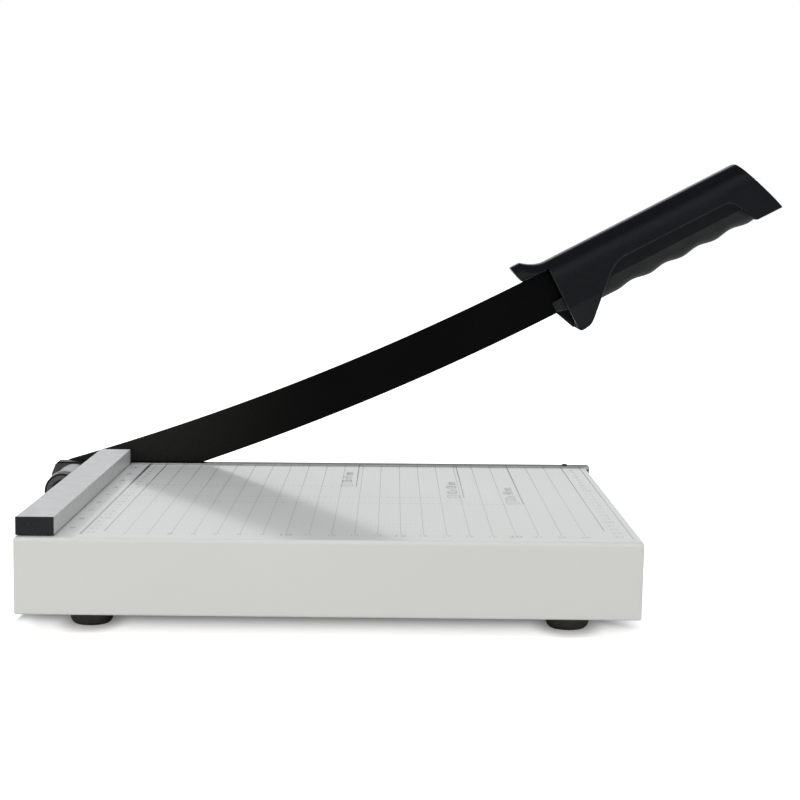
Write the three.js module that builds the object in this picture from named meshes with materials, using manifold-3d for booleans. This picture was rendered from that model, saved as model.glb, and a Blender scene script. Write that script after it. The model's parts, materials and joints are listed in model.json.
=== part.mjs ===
// A lever paper trimmer: a folded steel tray on rubber feet, a fixed edge bar with a pivot ear,
// a paper fence, and a curved cutting arm with a moulded handle that swings about a sprung bolt.
// Lengths are millimetres. X runs along the cut from the pivot to the handle, Y away from the user
// and Z up. Sizes are drawn from the fence's inner face (X 0), the cutting edge (Y 0) and the bed
// (Z 0); the finished group is then set with its origin under the middle of the whole trimmer.
import * as THREE from 'three';
import { mergeVertices } from 'three/addons/utils/BufferGeometryUtils.js';
import Module from 'manifold-3d';

const wasm = await Module();
wasm.setup();

// Clearances
const seatGap = 0.3; // between two pieces that touch
const overrun = 2; // how far a cutting tool passes the face that it cuts
const screwTail = 1.5; // how far a screw stands past its nut or plate

// Folded steel tray
const bedLength = 254; // fence face to right-hand wall
const trayDepth = 246; // near wall to far wall
const trayHeight = 33;
const traySheet = 1.2;
const trayBend = 2.4; // outside radius of the folded top edges
const trayCornerEase = 0.8; // the upright corners are this much rounder than the folds
const trayLip = 14; // flange turned in under the tray

// Corner plates, feet and their screws
const plateLength = 50;
const plateWidth = 46;
const plateThickness = 1.6;
const plateRound = 16;
const plateClip = 3; // clears the tray's rounded corner
const footInsetX = 30; // foot centre to the tray's side wall
const footInsetY = 26; // foot centre to the tray's near or far wall
const footRadius = 9.8;
const footBottomRadius = 6.7;
const footHeight = 10.2;
const footRounding = 3.1; // height of the rounded lower edge
const footPocketRadius = 4.4;
const footPocketDepth = 5;
const footScrewRadius = 1.9;
const footScrewHeadRadius = 3.7;
const footScrewHeadHeight = 2.2;

// Fixed edge bar with its pivot ear
const barWidth = 9.6;
const barThickness = 3;
const barLeg = 3;
const barStep = 0.5; // the bar's top above the bed
const barOverhang = 2; // the bar's end past the tray's right-hand wall
const barEdgeLand = 1; // upright land under the cutting edge
const barEdgeRelief = 0.9;
const pivotReach = 31.3; // pivot axis to the fence face
const pivotDrop = 9.9; // pivot axis below the bed
const earRadius = 13.7;
const earRise = 0.5; // the ear's top above the bar's
const earShoulder = 9.5; // pivot axis to the ends of the ear's level top
const earChamfer = 1.5;
const earEdge = 0.9; // chamfer along the ear's near top edge
const earNeck = 17; // pivot axis to where the ear thins into the bar
const earArcStart = THREE.MathUtils.degToRad(160);
const barScrewRadius = 2.4;
const barScrewHeadRadius = 4.1;
const barScrewHeadHeight = 2.4;
const barScrewDrop = 13; // screw axis below the bed
const barNutFlats = 8;
const barNutHeight = 3.2;
const barRivetRadius = 1;
const barRivetHeadRadius = 1.8;
const barRivetHeadHeight = 1;
const barRivetInset = 13; // rivet to the bar's right-hand end
const barRivetSetback = 2.1; // rivet to the cutting edge

// Paper fence
const fenceWidth = 16.2;
const fenceHeight = 8;
const fenceWall = 1.6;
const fenceEdge = 0.5; // chamfer of the top edges
const fenceLip = 3; // inward lips that hold the nuts
const fenceSetback = 7; // fence's near end to the tray's near wall
const capThickness = 2;
const capPlugLength = 6;
const fenceScrewRadius = 1.9;
const fenceScrewHeadRadius = 3.8;
const fenceScrewHeadHeight = 2.2;
const fenceNutFlats = 7;
const fenceNutHeight = 2.6;

// Pivot bolt, spring, sleeve and nut
const boltRadius = 4;
const boltHeadFlats = 13;
const boltHeadHeight = 5.3;
const boltHeadEase = 1;
const armWasherRadius = 9;
const armWasherThickness = 1.2;
const sleeveRadius = 10.4; // at the nut
const sleeveFlare = 1; // added to the radius at the ear
const sleeveWall = 1.6;
const sleeveLength = 29;
const sleeveEdge = 0.6;
const springWire = 1.7;
const springRadius = 6.4; // bolt axis to the wire's centre
const springWasherRadius = 10.2;
const springWasherThickness = 1.6;
const nutRadius = 9.7;
const nutHeight = 8.6;
const nutEdge = 0.5;
const nutRim = 0.7; // flat rim round the dished face
const nutDish = 2.4; // depth of the dished face
const nutDishWidth = 2.2; // how far the dish slopes in from the rim
const boltEndSetback = 1.4; // bolt's end behind the nut's rim

// Cutting arm, drawn in its own frame: pivot axis at the origin, X along the arm's root
const armRaise = THREE.MathUtils.degToRad(16.52); // root of the arm above level, as it stands at rest
const armSweepRadius = 1494; // the arm's centre line is an arc of this radius
const armLength = 290.7; // pivot to the handle's front edge, along the centre line
const armWidth = 24.1;
const armThickness = 3;
const armEdgeLand = 0.5; // blade thickness left at the ground cutting edge
const armGrind = 2.6; // height of the ground bevel
const tangSetback = 24.9; // tang's end to the pommel's tip
const tangLow = 5; // tang's lower edge below the centre line
const tangHigh = 9; // tang's upper edge above the centre line
const tangRound = 4;

// Handle, drawn from the point where its front edge crosses the arm's centre line
const handleHalfWidth = 13.5;
const handleTop = 16.95; // top line above the centre line
const handleTopRound = 9;
const handleLength = 128.5; // front edge to the pommel's tip
const pommelTopSetback = 11.9; // end of the top line to the pommel's tip
const pommelDrop = 15.75;
const pommelNeckSetback = 20.2; // start of the pommel's sloping inner edge to its tip
const pommelHeelSetback = 15.1; // where that edge meets the pommel's underside
const pommelFlare = 1.8;
const pommelFlareLength = 30;
const guardDrop = 25.9;
const guardLength = 13.4; // width of the guard where its rear edge turns up
const guardTurn = 19.6; // depth of that turn below the centre line
const guardWall = 2.3;
const bladeSeat = 12; // how far the full-width blade enters the handle
const hornLength = 18.5;
const hornRise = 5.65; // horn's tip above the top line
const hornTaper = 3.5;
const pocketStart = 40.3; // recess beside the grip, along its upper edge
const pocketSetback = 27.3; // end of that edge to the pommel's tip
const pocketDepth = 2;
const pocketHeight = 7.2;
const gripStart = 15.4;
const gripHalfWidth = 11.4;
const gripDrop = 15.35; // mean depth of the finger grooves below the centre line
const gripWave = 0.7;
const gripPitch = 20.2;
const gripFirstCrest = 29; // the strip is level ahead of this place
const gripShoulder = 2.2; // upright side of the grip before it rounds under
const fingerShelf = 6.2; // the far cheek stands this far ahead of the near one at the blade's edge
const fingerShelfToe = 1.1; // and this far at its lower end
const fingerShelfDrop = 24.5;
const handleScrewRadius = 1.6;
const handleScrewHeadRadius = 3.2;
const handleScrewHeadHeight = 2;
const handleScrewSink = 4.5; // head below the far shell's outer face
const handleScrewEnd = 5; // screw's end to the near shell's outer face
const handleScrewLift = 5; // screw axes above the centre line

// Stop block that meets the bar's end when the arm is down
const stopReach = 6.6; // ahead of the handle's front edge
const stopTail = 11;
const stopTop = 5;
const stopDrop = 12.9;
const stopThickness = 6;
const stopNose = 3.2;
const stopNoseLength = 3.4;
const stopSlope = 2.2;

// Shares
const fenceScrewShares = [0.14, 0.86]; // of the fence's length
const barScrewShares = [0.08, 0.5, 0.92]; // of the bed's length
const handleScrewShares = [0.19, 0.46, 0.73]; // of the handle's length
const hornBendShare = 1.85; // power of the rise along the horn
const hornRunShare = 0.67; // the rise is complete this far along the horn
const hornTipShare = 0.95; // of the horn's height over the blade
const hornCurveShares = [0.94, 0.3];
const hornHeelShare = 0.86;
const guardShares = [[0, 0.965], [0.157, 1.008], [0.396, 0.986], [0.634, 0.965]]; // of its length and drop
const pocketEdgeShares = [0.635, 0.43, 0.84]; // of the pocket's start and the guard's turn
const pommelEaseShare = 0.7;
const pommelShares = [[0.84, 0.268], [0.097, 0.953], [0.063, 0.995]]; // of its length and height
const guardFloorShares = [1.5, 1.7, 0.5]; // floor under the blade, of the guard's wall
const screwPointShare = 0.6; // of the shank's radius
const screwHeadShares = [[1, 0.4], [0.82, 0.8], [0.45, 1]]; // of the head's radius and height
const rivetHeadShares = [[1, 0], [0.8, 0.6], [0.4, 0.9]];
const screwCrossShare = 0.26; // width of the cross recess, of the head's radius
const screwCrossReachShare = 0.62;
const screwCrossDepthShare = 0.55; // of the head's height

// Counts
const roundFacets = 32;
const footFacets = 24;
const smallFacets = 12;
const arcSteps = 2; // a quarter circle in an outline gets twice as many facets
const springTurns = 6;
const springSteps = 48;
const springSides = 5;
const footArcSteps = 3;
const hornSteps = 10;
const flareSteps = 8;
const backSteps = 13;
const underSteps = 8;
const armSteps = 24;
const waveSteps = 40;

// Places worked out from the sizes
const trayLeft = -fenceWidth;
const trayRight = bedLength;
const trayFar = -barWidth - seatGap;
const trayNear = trayFar - trayDepth;
const trayFloor = -trayHeight;
const pivotX = -pivotReach;
const pivotZ = -pivotDrop;
const barTop = barStep;
const earTop = barTop + earRise;
const barEnd = trayRight + barOverhang;
const barBottom = pivotZ - earRadius;
const armNearFace = seatGap;
const armFarFace = armNearFace + armThickness;
const armMiddle = (armNearFace + armFarFace) / 2;
const plateTop = trayFloor + traySheet + seatGap + plateThickness;
const plateUnderside = plateTop - plateThickness;
const footTop = plateUnderside - seatGap;
const footBottom = footTop - footHeight;
const fenceBase = seatGap;
const fenceTop = fenceBase + fenceHeight;
const fenceFar = trayFar;
const fenceNear = trayNear + fenceSetback;
const fenceLength = fenceFar - fenceNear;
const gripTop = -pocketHeight - seatGap;
const tangEnd = handleLength - tangSetback;
const handleTopEnd = handleLength - pommelTopSetback;
const pommelNeck = handleLength - pommelNeckSetback;
const pommelHeel = handleLength - pommelHeelSetback;
const gripEnd = pommelHeel - seatGap;
const pocketEnd = handleLength - pocketSetback;

const paint = {
  tray: new THREE.MeshStandardMaterial({ color: 0xd8d8d4, roughness: 0.5, metalness: 0 }),
  blade: new THREE.MeshStandardMaterial({ color: 0x6b6c6e, roughness: 0.35, metalness: 0.9 }),
  zinc: new THREE.MeshStandardMaterial({ color: 0xb9b8b4, roughness: 0.35, metalness: 0.9 }),
  aluminium: new THREE.MeshStandardMaterial({ color: 0xc6c8c8, roughness: 0.45, metalness: 0.6 }),
  nylon: new THREE.MeshStandardMaterial({ color: 0xcbc9c4, roughness: 0.5, metalness: 0 }),
  enamel: new THREE.MeshStandardMaterial({ color: 0x151513, roughness: 0.4, metalness: 0.2 }),
  plastic: new THREE.MeshStandardMaterial({ color: 0x202226, roughness: 0.45, metalness: 0 }),
  grip: new THREE.MeshStandardMaterial({ color: 0x2b2b2c, roughness: 0.75, metalness: 0 }),
  rubber: new THREE.MeshStandardMaterial({ color: 0x1c1c1b, roughness: 0.8, metalness: 0 }),
};

// Solids

// Turns a closed geometry into a solid that can be cut and joined.
function solid(geometry) {
  const bare = new THREE.BufferGeometry();
  bare.setAttribute('position', geometry.getAttribute('position'));
  bare.setIndex(geometry.index);
  const merged = mergeVertices(bare);
  const corners = merged.index.array;
  const triangles = [];
  for (let i = 0; i < corners.length; i += 3) {
    const [a, b, c] = corners.slice(i, i + 3);
    if (a !== b && b !== c && c !== a) triangles.push(a, b, c);
  }
  return new wasm.Manifold(new wasm.Mesh({
    numProp: 3,
    vertProperties: merged.getAttribute('position').array,
    triVerts: Uint32Array.from(triangles),
  }));
}

function geometryOf(body) {
  const mesh = body.getMesh();
  const geometry = new THREE.BufferGeometry();
  geometry.setAttribute('position', new THREE.BufferAttribute(mesh.vertProperties, 3));
  geometry.setIndex(new THREE.BufferAttribute(mesh.triVerts, 1));
  geometry.computeVertexNormals();
  return geometry;
}

function joined(first, ...others) {
  return geometryOf(others.reduce((body, other) => body.add(solid(other)), solid(first)));
}

function cut(first, ...tools) {
  return geometryOf(tools.reduce((body, tool) => body.subtract(solid(tool)), solid(first)));
}

function common(first, ...others) {
  return geometryOf(others.reduce((body, other) => body.intersect(solid(other)), solid(first)));
}

function box(low, high) {
  const size = high.map((value, i) => value - low[i]);
  const middle = high.map((value, i) => (value + low[i]) / 2);
  return new THREE.BoxGeometry(...size).translate(...middle);
}

// A round bar along Y or Z, between two places on that axis.
function rodY(radius, start, end, x, z, facets = smallFacets) {
  const rod = new THREE.CylinderGeometry(radius, radius, end - start, facets);
  return rod.translate(x, (start + end) / 2, z);
}

function rodZ(radius, start, end, x, y, facets = smallFacets) {
  const rod = new THREE.CylinderGeometry(radius, radius, end - start, facets);
  return rod.rotateX(Math.PI / 2).translate(x, y, (start + end) / 2);
}

// An outline in X and Y, raised along Z.
function raiseXY(outline, start, end) {
  const settings = { depth: end - start, bevelEnabled: false, curveSegments: arcSteps };
  return new THREE.ExtrudeGeometry(outline, settings).translate(0, 0, start);
}

// An outline in X and Z, pulled along Y.
function pullXZ(outline, start, end) {
  return raiseXY(outline, -end, -start).rotateX(Math.PI / 2);
}

// An outline in Y and Z, pulled along X.
function pullYZ(outline, start, end) {
  const turn = new THREE.Matrix4();
  turn.makeBasis(new THREE.Vector3(0, 1, 0), new THREE.Vector3(0, 0, 1), new THREE.Vector3(1, 0, 0));
  return raiseXY(outline, start, end).applyMatrix4(turn);
}

function polygon(points) {
  return new THREE.Shape(points.map(([x, y]) => new THREE.Vector2(x, y)));
}

function roundedRect(left, low, right, high, radius) {
  const shape = new THREE.Shape();
  shape.absarc(right - radius, low + radius, radius, -Math.PI / 2, 0);
  shape.absarc(right - radius, high - radius, radius, 0, Math.PI / 2);
  shape.absarc(left + radius, high - radius, radius, Math.PI / 2, Math.PI);
  shape.absarc(left + radius, low + radius, radius, Math.PI, Math.PI * 1.5);
  return shape;
}

// A profile of [radius, height] pairs, turned about Y.
function turned(profile, facets = roundFacets) {
  return new THREE.LatheGeometry(profile.map(([r, y]) => new THREE.Vector2(r, y)), facets);
}

function ring(inner, outer, start, end) {
  return turned([[inner, start], [outer, start], [outer, end], [inner, end], [inner, start]]);
}

// Joins rings of points, each with as many points as the next, into one closed body.
// Each ring runs anticlockwise as seen from the far end.
function loft(rings) {
  const count = rings[0].length;
  const last = (rings.length - 1) * count;
  const index = [];
  for (let start = 0; start < last; start += count) {
    for (let i = 0; i < count; i += 1) {
      const a = start + i;
      const b = start + (i + 1) % count;
      index.push(a, b, a + count, b, b + count, a + count);
    }
  }
  for (let i = 1; i + 1 < count; i += 1) {
    index.push(0, i + 1, i, last, last + i, last + i + 1);
  }
  const geometry = new THREE.BufferGeometry();
  geometry.setAttribute('position', new THREE.Float32BufferAttribute(rings.flat(2), 3));
  geometry.setIndex(index);
  return geometry;
}

// Fasteners

// A pan-head screw along Y: the head stands on +Y, and the point is at minus its length.
function panScrew(headRadius, headHeight, shankRadius, length) {
  const point = shankRadius * screwPointShare;
  const body = turned([
    [0, -length], [point, -length], [shankRadius, point - length], [shankRadius, 0], [headRadius, 0],
    ...screwHeadShares.map(([across, up]) => [headRadius * across, headHeight * up]), [0, headHeight],
  ], smallFacets);
  const reach = headRadius * screwCrossReachShare;
  const half = headRadius * screwCrossShare / 2;
  const floor = headHeight * (1 - screwCrossDepthShare);
  const top = headHeight + overrun;
  const slot = box([-reach, floor, -half], [reach, top, half]);
  const crossSlot = box([-half, floor, -reach], [half, top, reach]);
  return cut(body, slot, crossSlot);
}

// A hexagon with a round bore, raised along Y from 0.
function hexagon(flats, height, bore = 0) {
  const shape = new THREE.Shape();
  for (let side = 0; side < 6; side += 1) {
    const angle = Math.PI * side / 3;
    const radius = flats / 2 / Math.cos(Math.PI / 6);
    if (side === 0) shape.moveTo(radius, 0);
    else shape.lineTo(radius * Math.cos(angle), radius * Math.sin(angle));
  }
  const block = pullXZ(shape, 0, height);
  return bore > 0 ? cut(block, rodY(bore, -overrun, height + overrun, 0, 0)) : block;
}

// The whole trimmer

const trimmer = new THREE.Group();
const arm = new THREE.Group();
const handle = new THREE.Group();

function addPiece(parent, name, geometry, material) {
  const piece = new THREE.Mesh(geometry, material);
  piece.name = name;
  parent.add(piece);
  return piece;
}

// Tray

// A block whose top edges are rounded like a fold and whose bottom is cut flat.
function foldedBlock(inset, top, bottom, bend) {
  const left = trayLeft + inset;
  const right = trayRight - inset;
  const near = trayNear + inset;
  const far = trayFar - inset;
  const outline = roundedRect(left, near, right, far, bend + trayCornerEase);
  const block = new THREE.ExtrudeGeometry(outline, {
    depth: top - bottom,
    bevelThickness: bend,
    bevelSize: bend,
    bevelOffset: -bend,
    bevelSegments: 4,
    curveSegments: arcSteps,
  });
  block.translate(0, 0, bottom - bend);
  const low = [left - overrun, near - overrun, bottom - bend * 2 - overrun];
  return cut(block, box(low, [right + overrun, far + overrun, bottom]));
}

function fenceScrewPlaces() {
  return fenceScrewShares.map((share) => [trayLeft + fenceWidth / 2, fenceNear + fenceLength * share]);
}

function barScrewPlaces() {
  return barScrewShares.map((share) => bedLength * share);
}

function makeTray() {
  const outside = foldedBlock(0, 0, trayFloor, trayBend);
  const inside = foldedBlock(traySheet, -traySheet, trayFloor + traySheet, trayBend - traySheet);
  const mouth = roundedRect(
    trayLeft + trayLip, trayNear + trayLip, trayRight - trayLip, trayFar - trayLip, trayCornerEase,
  );
  const opening = raiseXY(mouth, trayFloor - overrun, trayFloor + traySheet + overrun);
  const fenceHoles = fenceScrewPlaces().map(([x, y]) => (
    rodZ(fenceScrewRadius + seatGap, -traySheet - overrun, overrun, x, y)
  ));
  const barHoles = barScrewPlaces().map((x) => (
    rodY(barScrewRadius + seatGap, trayFar - traySheet - overrun, trayFar + overrun, x, -barScrewDrop)
  ));
  return cut(outside, inside, opening, ...fenceHoles, ...barHoles);
}
addPiece(trimmer, 'base_tray', makeTray(), paint.tray);

// Corner plates, feet and foot screws

function makeCornerPlate(sideX, sideY) {
  const outline = new THREE.Shape();
  outline.moveTo(plateClip, 0);
  outline.lineTo(plateLength, 0);
  outline.absarc(plateLength - plateRound, plateWidth - plateRound, plateRound, 0, Math.PI / 2);
  outline.lineTo(0, plateWidth);
  outline.lineTo(0, plateClip);
  const wallGap = traySheet + seatGap;
  const cornerX = sideX < 0 ? trayLeft + wallGap : trayRight - wallGap;
  const cornerY = sideY < 0 ? trayNear + wallGap : trayFar - wallGap;
  const placed = outline.getPoints(arcSteps).map((point) => (
    [cornerX - sideX * point.x, cornerY - sideY * point.y]
  ));
  const [x, y] = footPlace(sideX, sideY);
  const hole = rodZ(footScrewRadius + seatGap, plateUnderside - overrun, plateTop + overrun, x, y);
  return cut(raiseXY(polygon(placed), plateUnderside, plateTop), hole);
}

function footPlace(sideX, sideY) {
  const x = sideX < 0 ? trayLeft + footInsetX : trayRight - footInsetX;
  const y = sideY < 0 ? trayNear + footInsetY : trayFar - footInsetY;
  return [x, y];
}

// A rubber foot with a rounded lower edge and a pocket for its screw's head.
function makeFoot() {
  const bore = footScrewRadius + seatGap;
  const pocket = footBottom + footPocketDepth;
  const profile = [[bore, pocket], [footPocketRadius, pocket], [footPocketRadius, footBottom]];
  for (let step = 0; step <= footArcSteps; step += 1) {
    const angle = (Math.PI / 2) * (step / footArcSteps);
    profile.push([
      footBottomRadius + (footRadius - footBottomRadius) * Math.sin(angle),
      footBottom + footRounding * (1 - Math.cos(angle)),
    ]);
  }
  profile.push([footRadius, footTop], [bore, footTop], [bore, pocket]);
  return turned(profile, footFacets).rotateX(Math.PI / 2);
}

function makeFootScrew() {
  const seat = footBottom + footPocketDepth - seatGap;
  const length = plateTop + screwTail - seat;
  const screw = panScrew(footScrewHeadRadius, footScrewHeadHeight, footScrewRadius, length);
  return screw.rotateX(-Math.PI / 2).translate(0, 0, seat);
}

const trayCorners = { front_left: [-1, -1], front_right: [1, -1], rear_left: [-1, 1], rear_right: [1, 1] };
for (const [corner, [sideX, sideY]] of Object.entries(trayCorners)) {
  const [x, y] = footPlace(sideX, sideY);
  addPiece(trimmer, `corner_plate_${corner}`, makeCornerPlate(sideX, sideY), paint.tray);
  addPiece(trimmer, `foot_${corner}`, makeFoot(), paint.rubber).position.set(x, y, 0);
  addPiece(trimmer, `foot_screw_${corner}`, makeFootScrew(), paint.zinc).position.set(x, y, 0);
}

// Fixed edge bar: an angle whose top leg ends in the cutting edge, with a solid ear for the pivot

function makeBar() {
  const angle = pullYZ(polygon([
    [-barWidth, barTop],
    [0, barTop],
    [0, barTop - barEdgeLand],
    [-barEdgeRelief, barTop - barThickness],
    [barLeg - barWidth, barTop - barThickness],
    [barLeg - barWidth, barBottom],
    [-barWidth, barBottom],
  ].reverse()), pivotX + earNeck - overrun, barEnd);
  const ear = new THREE.Shape();
  ear.moveTo(pivotX + earNeck, barTop);
  ear.lineTo(pivotX + earShoulder, earTop);
  ear.lineTo(pivotX - earShoulder, earTop);
  ear.lineTo(pivotX - earShoulder - earChamfer, earTop - earChamfer);
  ear.absarc(pivotX, pivotZ, earRadius, earArcStart, Math.PI * 1.5);
  ear.lineTo(pivotX + earNeck, barBottom);
  const bores = barScrewPlaces().map((x) => (
    rodY(barScrewRadius + seatGap, -barWidth - overrun, barLeg - barWidth + overrun, x, -barScrewDrop)
  ));
  const rivetBore = rodZ(
    barRivetRadius + seatGap, barTop - barThickness - overrun, barTop + overrun,
    barEnd - barRivetInset, -barRivetSetback,
  );
  const pivotBore = rodY(boltRadius + seatGap, -barWidth - overrun, overrun, pivotX, pivotZ, roundFacets);
  const nearEdge = pullYZ(polygon([
    [-barWidth - overrun, earTop - earEdge - overrun], [earEdge + overrun - barWidth, earTop + overrun],
    [-barWidth - overrun, earTop + overrun],
  ]), pivotX - earRadius - overrun, pivotX + earShoulder);
  return cut(joined(angle, pullXZ(ear, -barWidth, 0)), nearEdge, pivotBore, rivetBore, ...bores);
}
addPiece(trimmer, 'fixed_blade', makeBar(), paint.blade);

function makeBarRivet() {
  const tail = barThickness + barRivetRadius;
  const rivet = turned([
    [0, -tail], [barRivetRadius, -tail], [barRivetRadius, 0],
    ...rivetHeadShares.map(([across, up]) => [barRivetHeadRadius * across, barRivetHeadHeight * up]),
    [0, barRivetHeadHeight],
  ], smallFacets);
  return rivet.rotateX(Math.PI / 2);
}
const barRivet = addPiece(trimmer, 'fixed_blade_rivet', makeBarRivet(), paint.blade);
barRivet.position.set(barEnd - barRivetInset, -barRivetSetback, barTop + seatGap);

function makeBarScrew() {
  const nutDepth = seatGap + traySheet + seatGap + barNutHeight;
  const length = seatGap + barLeg + nutDepth + screwTail;
  return panScrew(barScrewHeadRadius, barScrewHeadHeight, barScrewRadius, length);
}

barScrewPlaces().forEach((x, place) => {
  const side = ['left', 'middle', 'right'][place];
  const screw = addPiece(trimmer, `fixed_blade_screw_${side}`, makeBarScrew(), paint.zinc);
  screw.position.set(x, barLeg - barWidth + seatGap, -barScrewDrop);
  const nut = hexagon(barNutFlats, barNutHeight, barScrewRadius + seatGap);
  const nutSeat = trayFar - traySheet - seatGap - barNutHeight;
  addPiece(trimmer, `fixed_blade_nut_${side}`, nut, paint.zinc).position.set(x, nutSeat, -barScrewDrop);
});

// Fence: a channel that is open underneath, with lips that hold two nuts, and a cap on its near end

function makeFence() {
  const left = -fenceWidth;
  const roof = fenceTop - fenceWall;
  const lipTop = fenceBase + fenceWall;
  const section = polygon([
    [left, fenceBase], [left + fenceWall + fenceLip, fenceBase], [left + fenceWall + fenceLip, lipTop],
    [left + fenceWall, lipTop], [left + fenceWall, roof], [-fenceWall, roof], [-fenceWall, lipTop],
    [-fenceWall - fenceLip, lipTop], [-fenceWall - fenceLip, fenceBase], [0, fenceBase],
    [0, fenceTop - fenceEdge], [-fenceEdge, fenceTop], [left + fenceEdge, fenceTop],
    [left, fenceTop - fenceEdge],
  ]);
  return pullXZ(section, fenceNear, fenceFar);
}
addPiece(trimmer, 'paper_fence', makeFence(), paint.aluminium);

function makeFenceCap() {
  const capFar = fenceNear - seatGap;
  const face = box([-fenceWidth, capFar - capThickness, fenceBase], [0, capFar, fenceTop]);
  const inset = fenceWall + seatGap;
  const plug = box(
    [inset - fenceWidth, capFar - capThickness / 2, fenceBase + inset],
    [-inset, fenceNear + capPlugLength, fenceTop - inset],
  );
  return joined(face, plug);
}
addPiece(trimmer, 'fence_end_cap', makeFenceCap(), paint.plastic);

fenceScrewPlaces().forEach(([x, y], place) => {
  const side = ['near', 'far'][place];
  const nutSeat = fenceBase + fenceWall + seatGap;
  const screwSeat = -traySheet - seatGap;
  const length = nutSeat + fenceNutHeight + screwTail - screwSeat;
  const screw = panScrew(fenceScrewHeadRadius, fenceScrewHeadHeight, fenceScrewRadius, length);
  screw.rotateX(-Math.PI / 2).translate(x, y, screwSeat);
  addPiece(trimmer, `fence_screw_${side}`, screw, paint.zinc);
  const nut = hexagon(fenceNutFlats, fenceNutHeight, fenceScrewRadius + seatGap);
  nut.rotateX(Math.PI / 2).translate(x, y, nutSeat);
  addPiece(trimmer, `fence_nut_${side}`, nut, paint.zinc);
});

// Pivot: bolt, washers, spring, sleeve and nut in line along Y

const sleeveFar = -barWidth - seatGap;
const sleeveNear = sleeveFar - sleeveLength;
const springWasherFar = sleeveNear - seatGap;
const springWasherNear = springWasherFar - springWasherThickness;
const nutFar = springWasherNear - seatGap;
const nutNear = nutFar - nutHeight;
const armWasherNear = armFarFace + seatGap;
const boltSeat = armWasherNear + armWasherThickness + seatGap;

// The bolt's hexagonal head has its outer corners eased by a cone.
function makePivotBolt() {
  const headEnd = boltSeat + boltHeadHeight;
  const corner = boltHeadFlats / 2 / Math.cos(Math.PI / 6);
  const flat = boltHeadFlats / 2;
  const easedHead = turned([
    [0, boltSeat], [corner, boltSeat], [corner, headEnd - boltHeadEase], [flat - boltHeadEase / 2, headEnd],
    [0, headEnd],
  ]);
  const head = common(hexagon(boltHeadFlats, boltHeadHeight).translate(0, boltSeat, 0), easedHead);
  const shankEnd = nutNear + boltEndSetback;
  return joined(head, rodY(boltRadius, shankEnd, boltSeat + overrun, 0, 0, roundFacets));
}

// The sleeve over the spring is wider at the ear than at the nut.
function makeSleeve() {
  const bore = sleeveRadius - sleeveWall;
  const wide = sleeveRadius + sleeveFlare;
  return turned([
    [bore, sleeveNear], [sleeveRadius - sleeveEdge, sleeveNear], [sleeveRadius, sleeveNear + sleeveEdge],
    [wide, sleeveFar - sleeveEdge], [wide - sleeveEdge, sleeveFar], [bore, sleeveFar], [bore, sleeveNear],
  ]);
}

// The round nut has a dished face with a thin flat rim.
function makePivotNut() {
  const bore = boltRadius + seatGap;
  const easedRadius = nutRadius - nutEdge;
  const dishRadius = easedRadius - nutRim;
  return turned([
    [bore, nutNear + nutDish], [dishRadius - nutDishWidth, nutNear + nutDish], [dishRadius, nutNear],
    [easedRadius, nutNear], [nutRadius, nutNear + nutEdge], [nutRadius, nutFar - nutEdge],
    [easedRadius, nutFar], [bore, nutFar], [bore, nutNear + nutDish],
  ]);
}

class SpringLine extends THREE.Curve {
  getPoint(share, target = new THREE.Vector3()) {
    const angle = share * springTurns * Math.PI * 2;
    const start = sleeveNear + seatGap + springWire / 2;
    const end = sleeveFar - seatGap - springWire / 2;
    const along = start + (end - start) * share;
    return target.set(springRadius * Math.cos(angle), along, springRadius * Math.sin(angle));
  }
}

function makeSpring() {
  const section = new THREE.Shape();
  section.absarc(0, 0, springWire / 2, 0, Math.PI * 2);
  const points = section.getSpacedPoints(springSides).slice(0, springSides);
  return new THREE.ExtrudeGeometry(new THREE.Shape(points), {
    steps: springSteps,
    bevelEnabled: false,
    extrudePath: new SpringLine(),
  });
}

const boltBore = boltRadius + seatGap;
const pivotPieces = {
  pivot_bolt: [makePivotBolt(), paint.zinc],
  arm_washer: [ring(boltBore, armWasherRadius, armWasherNear, boltSeat - seatGap), paint.zinc],
  pivot_spring: [makeSpring(), paint.blade],
  spring_sleeve: [makeSleeve(), paint.nylon],
  spring_washer: [ring(boltBore, springWasherRadius, springWasherNear, springWasherFar), paint.nylon],
  pivot_nut: [makePivotNut(), paint.enamel],
};
for (const [name, [geometry, material]] of Object.entries(pivotPieces)) {
  addPiece(trimmer, name, geometry, material).position.set(pivotX, 0, pivotZ);
}

// Cutting arm

// A point on the arm in X and Z: `along` its centre line from the pivot and `above` that line.
function armPoint(along, above) {
  const angle = along / armSweepRadius;
  const radius = armSweepRadius - above;
  return [radius * Math.sin(angle), armSweepRadius - radius * Math.cos(angle)];
}

const handleTurn = armLength / armSweepRadius;
const [handleX, handleZ] = armPoint(armLength, 0);

function handleScrewPlaces() {
  return handleScrewShares.map((share) => handleLength * share);
}

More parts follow.
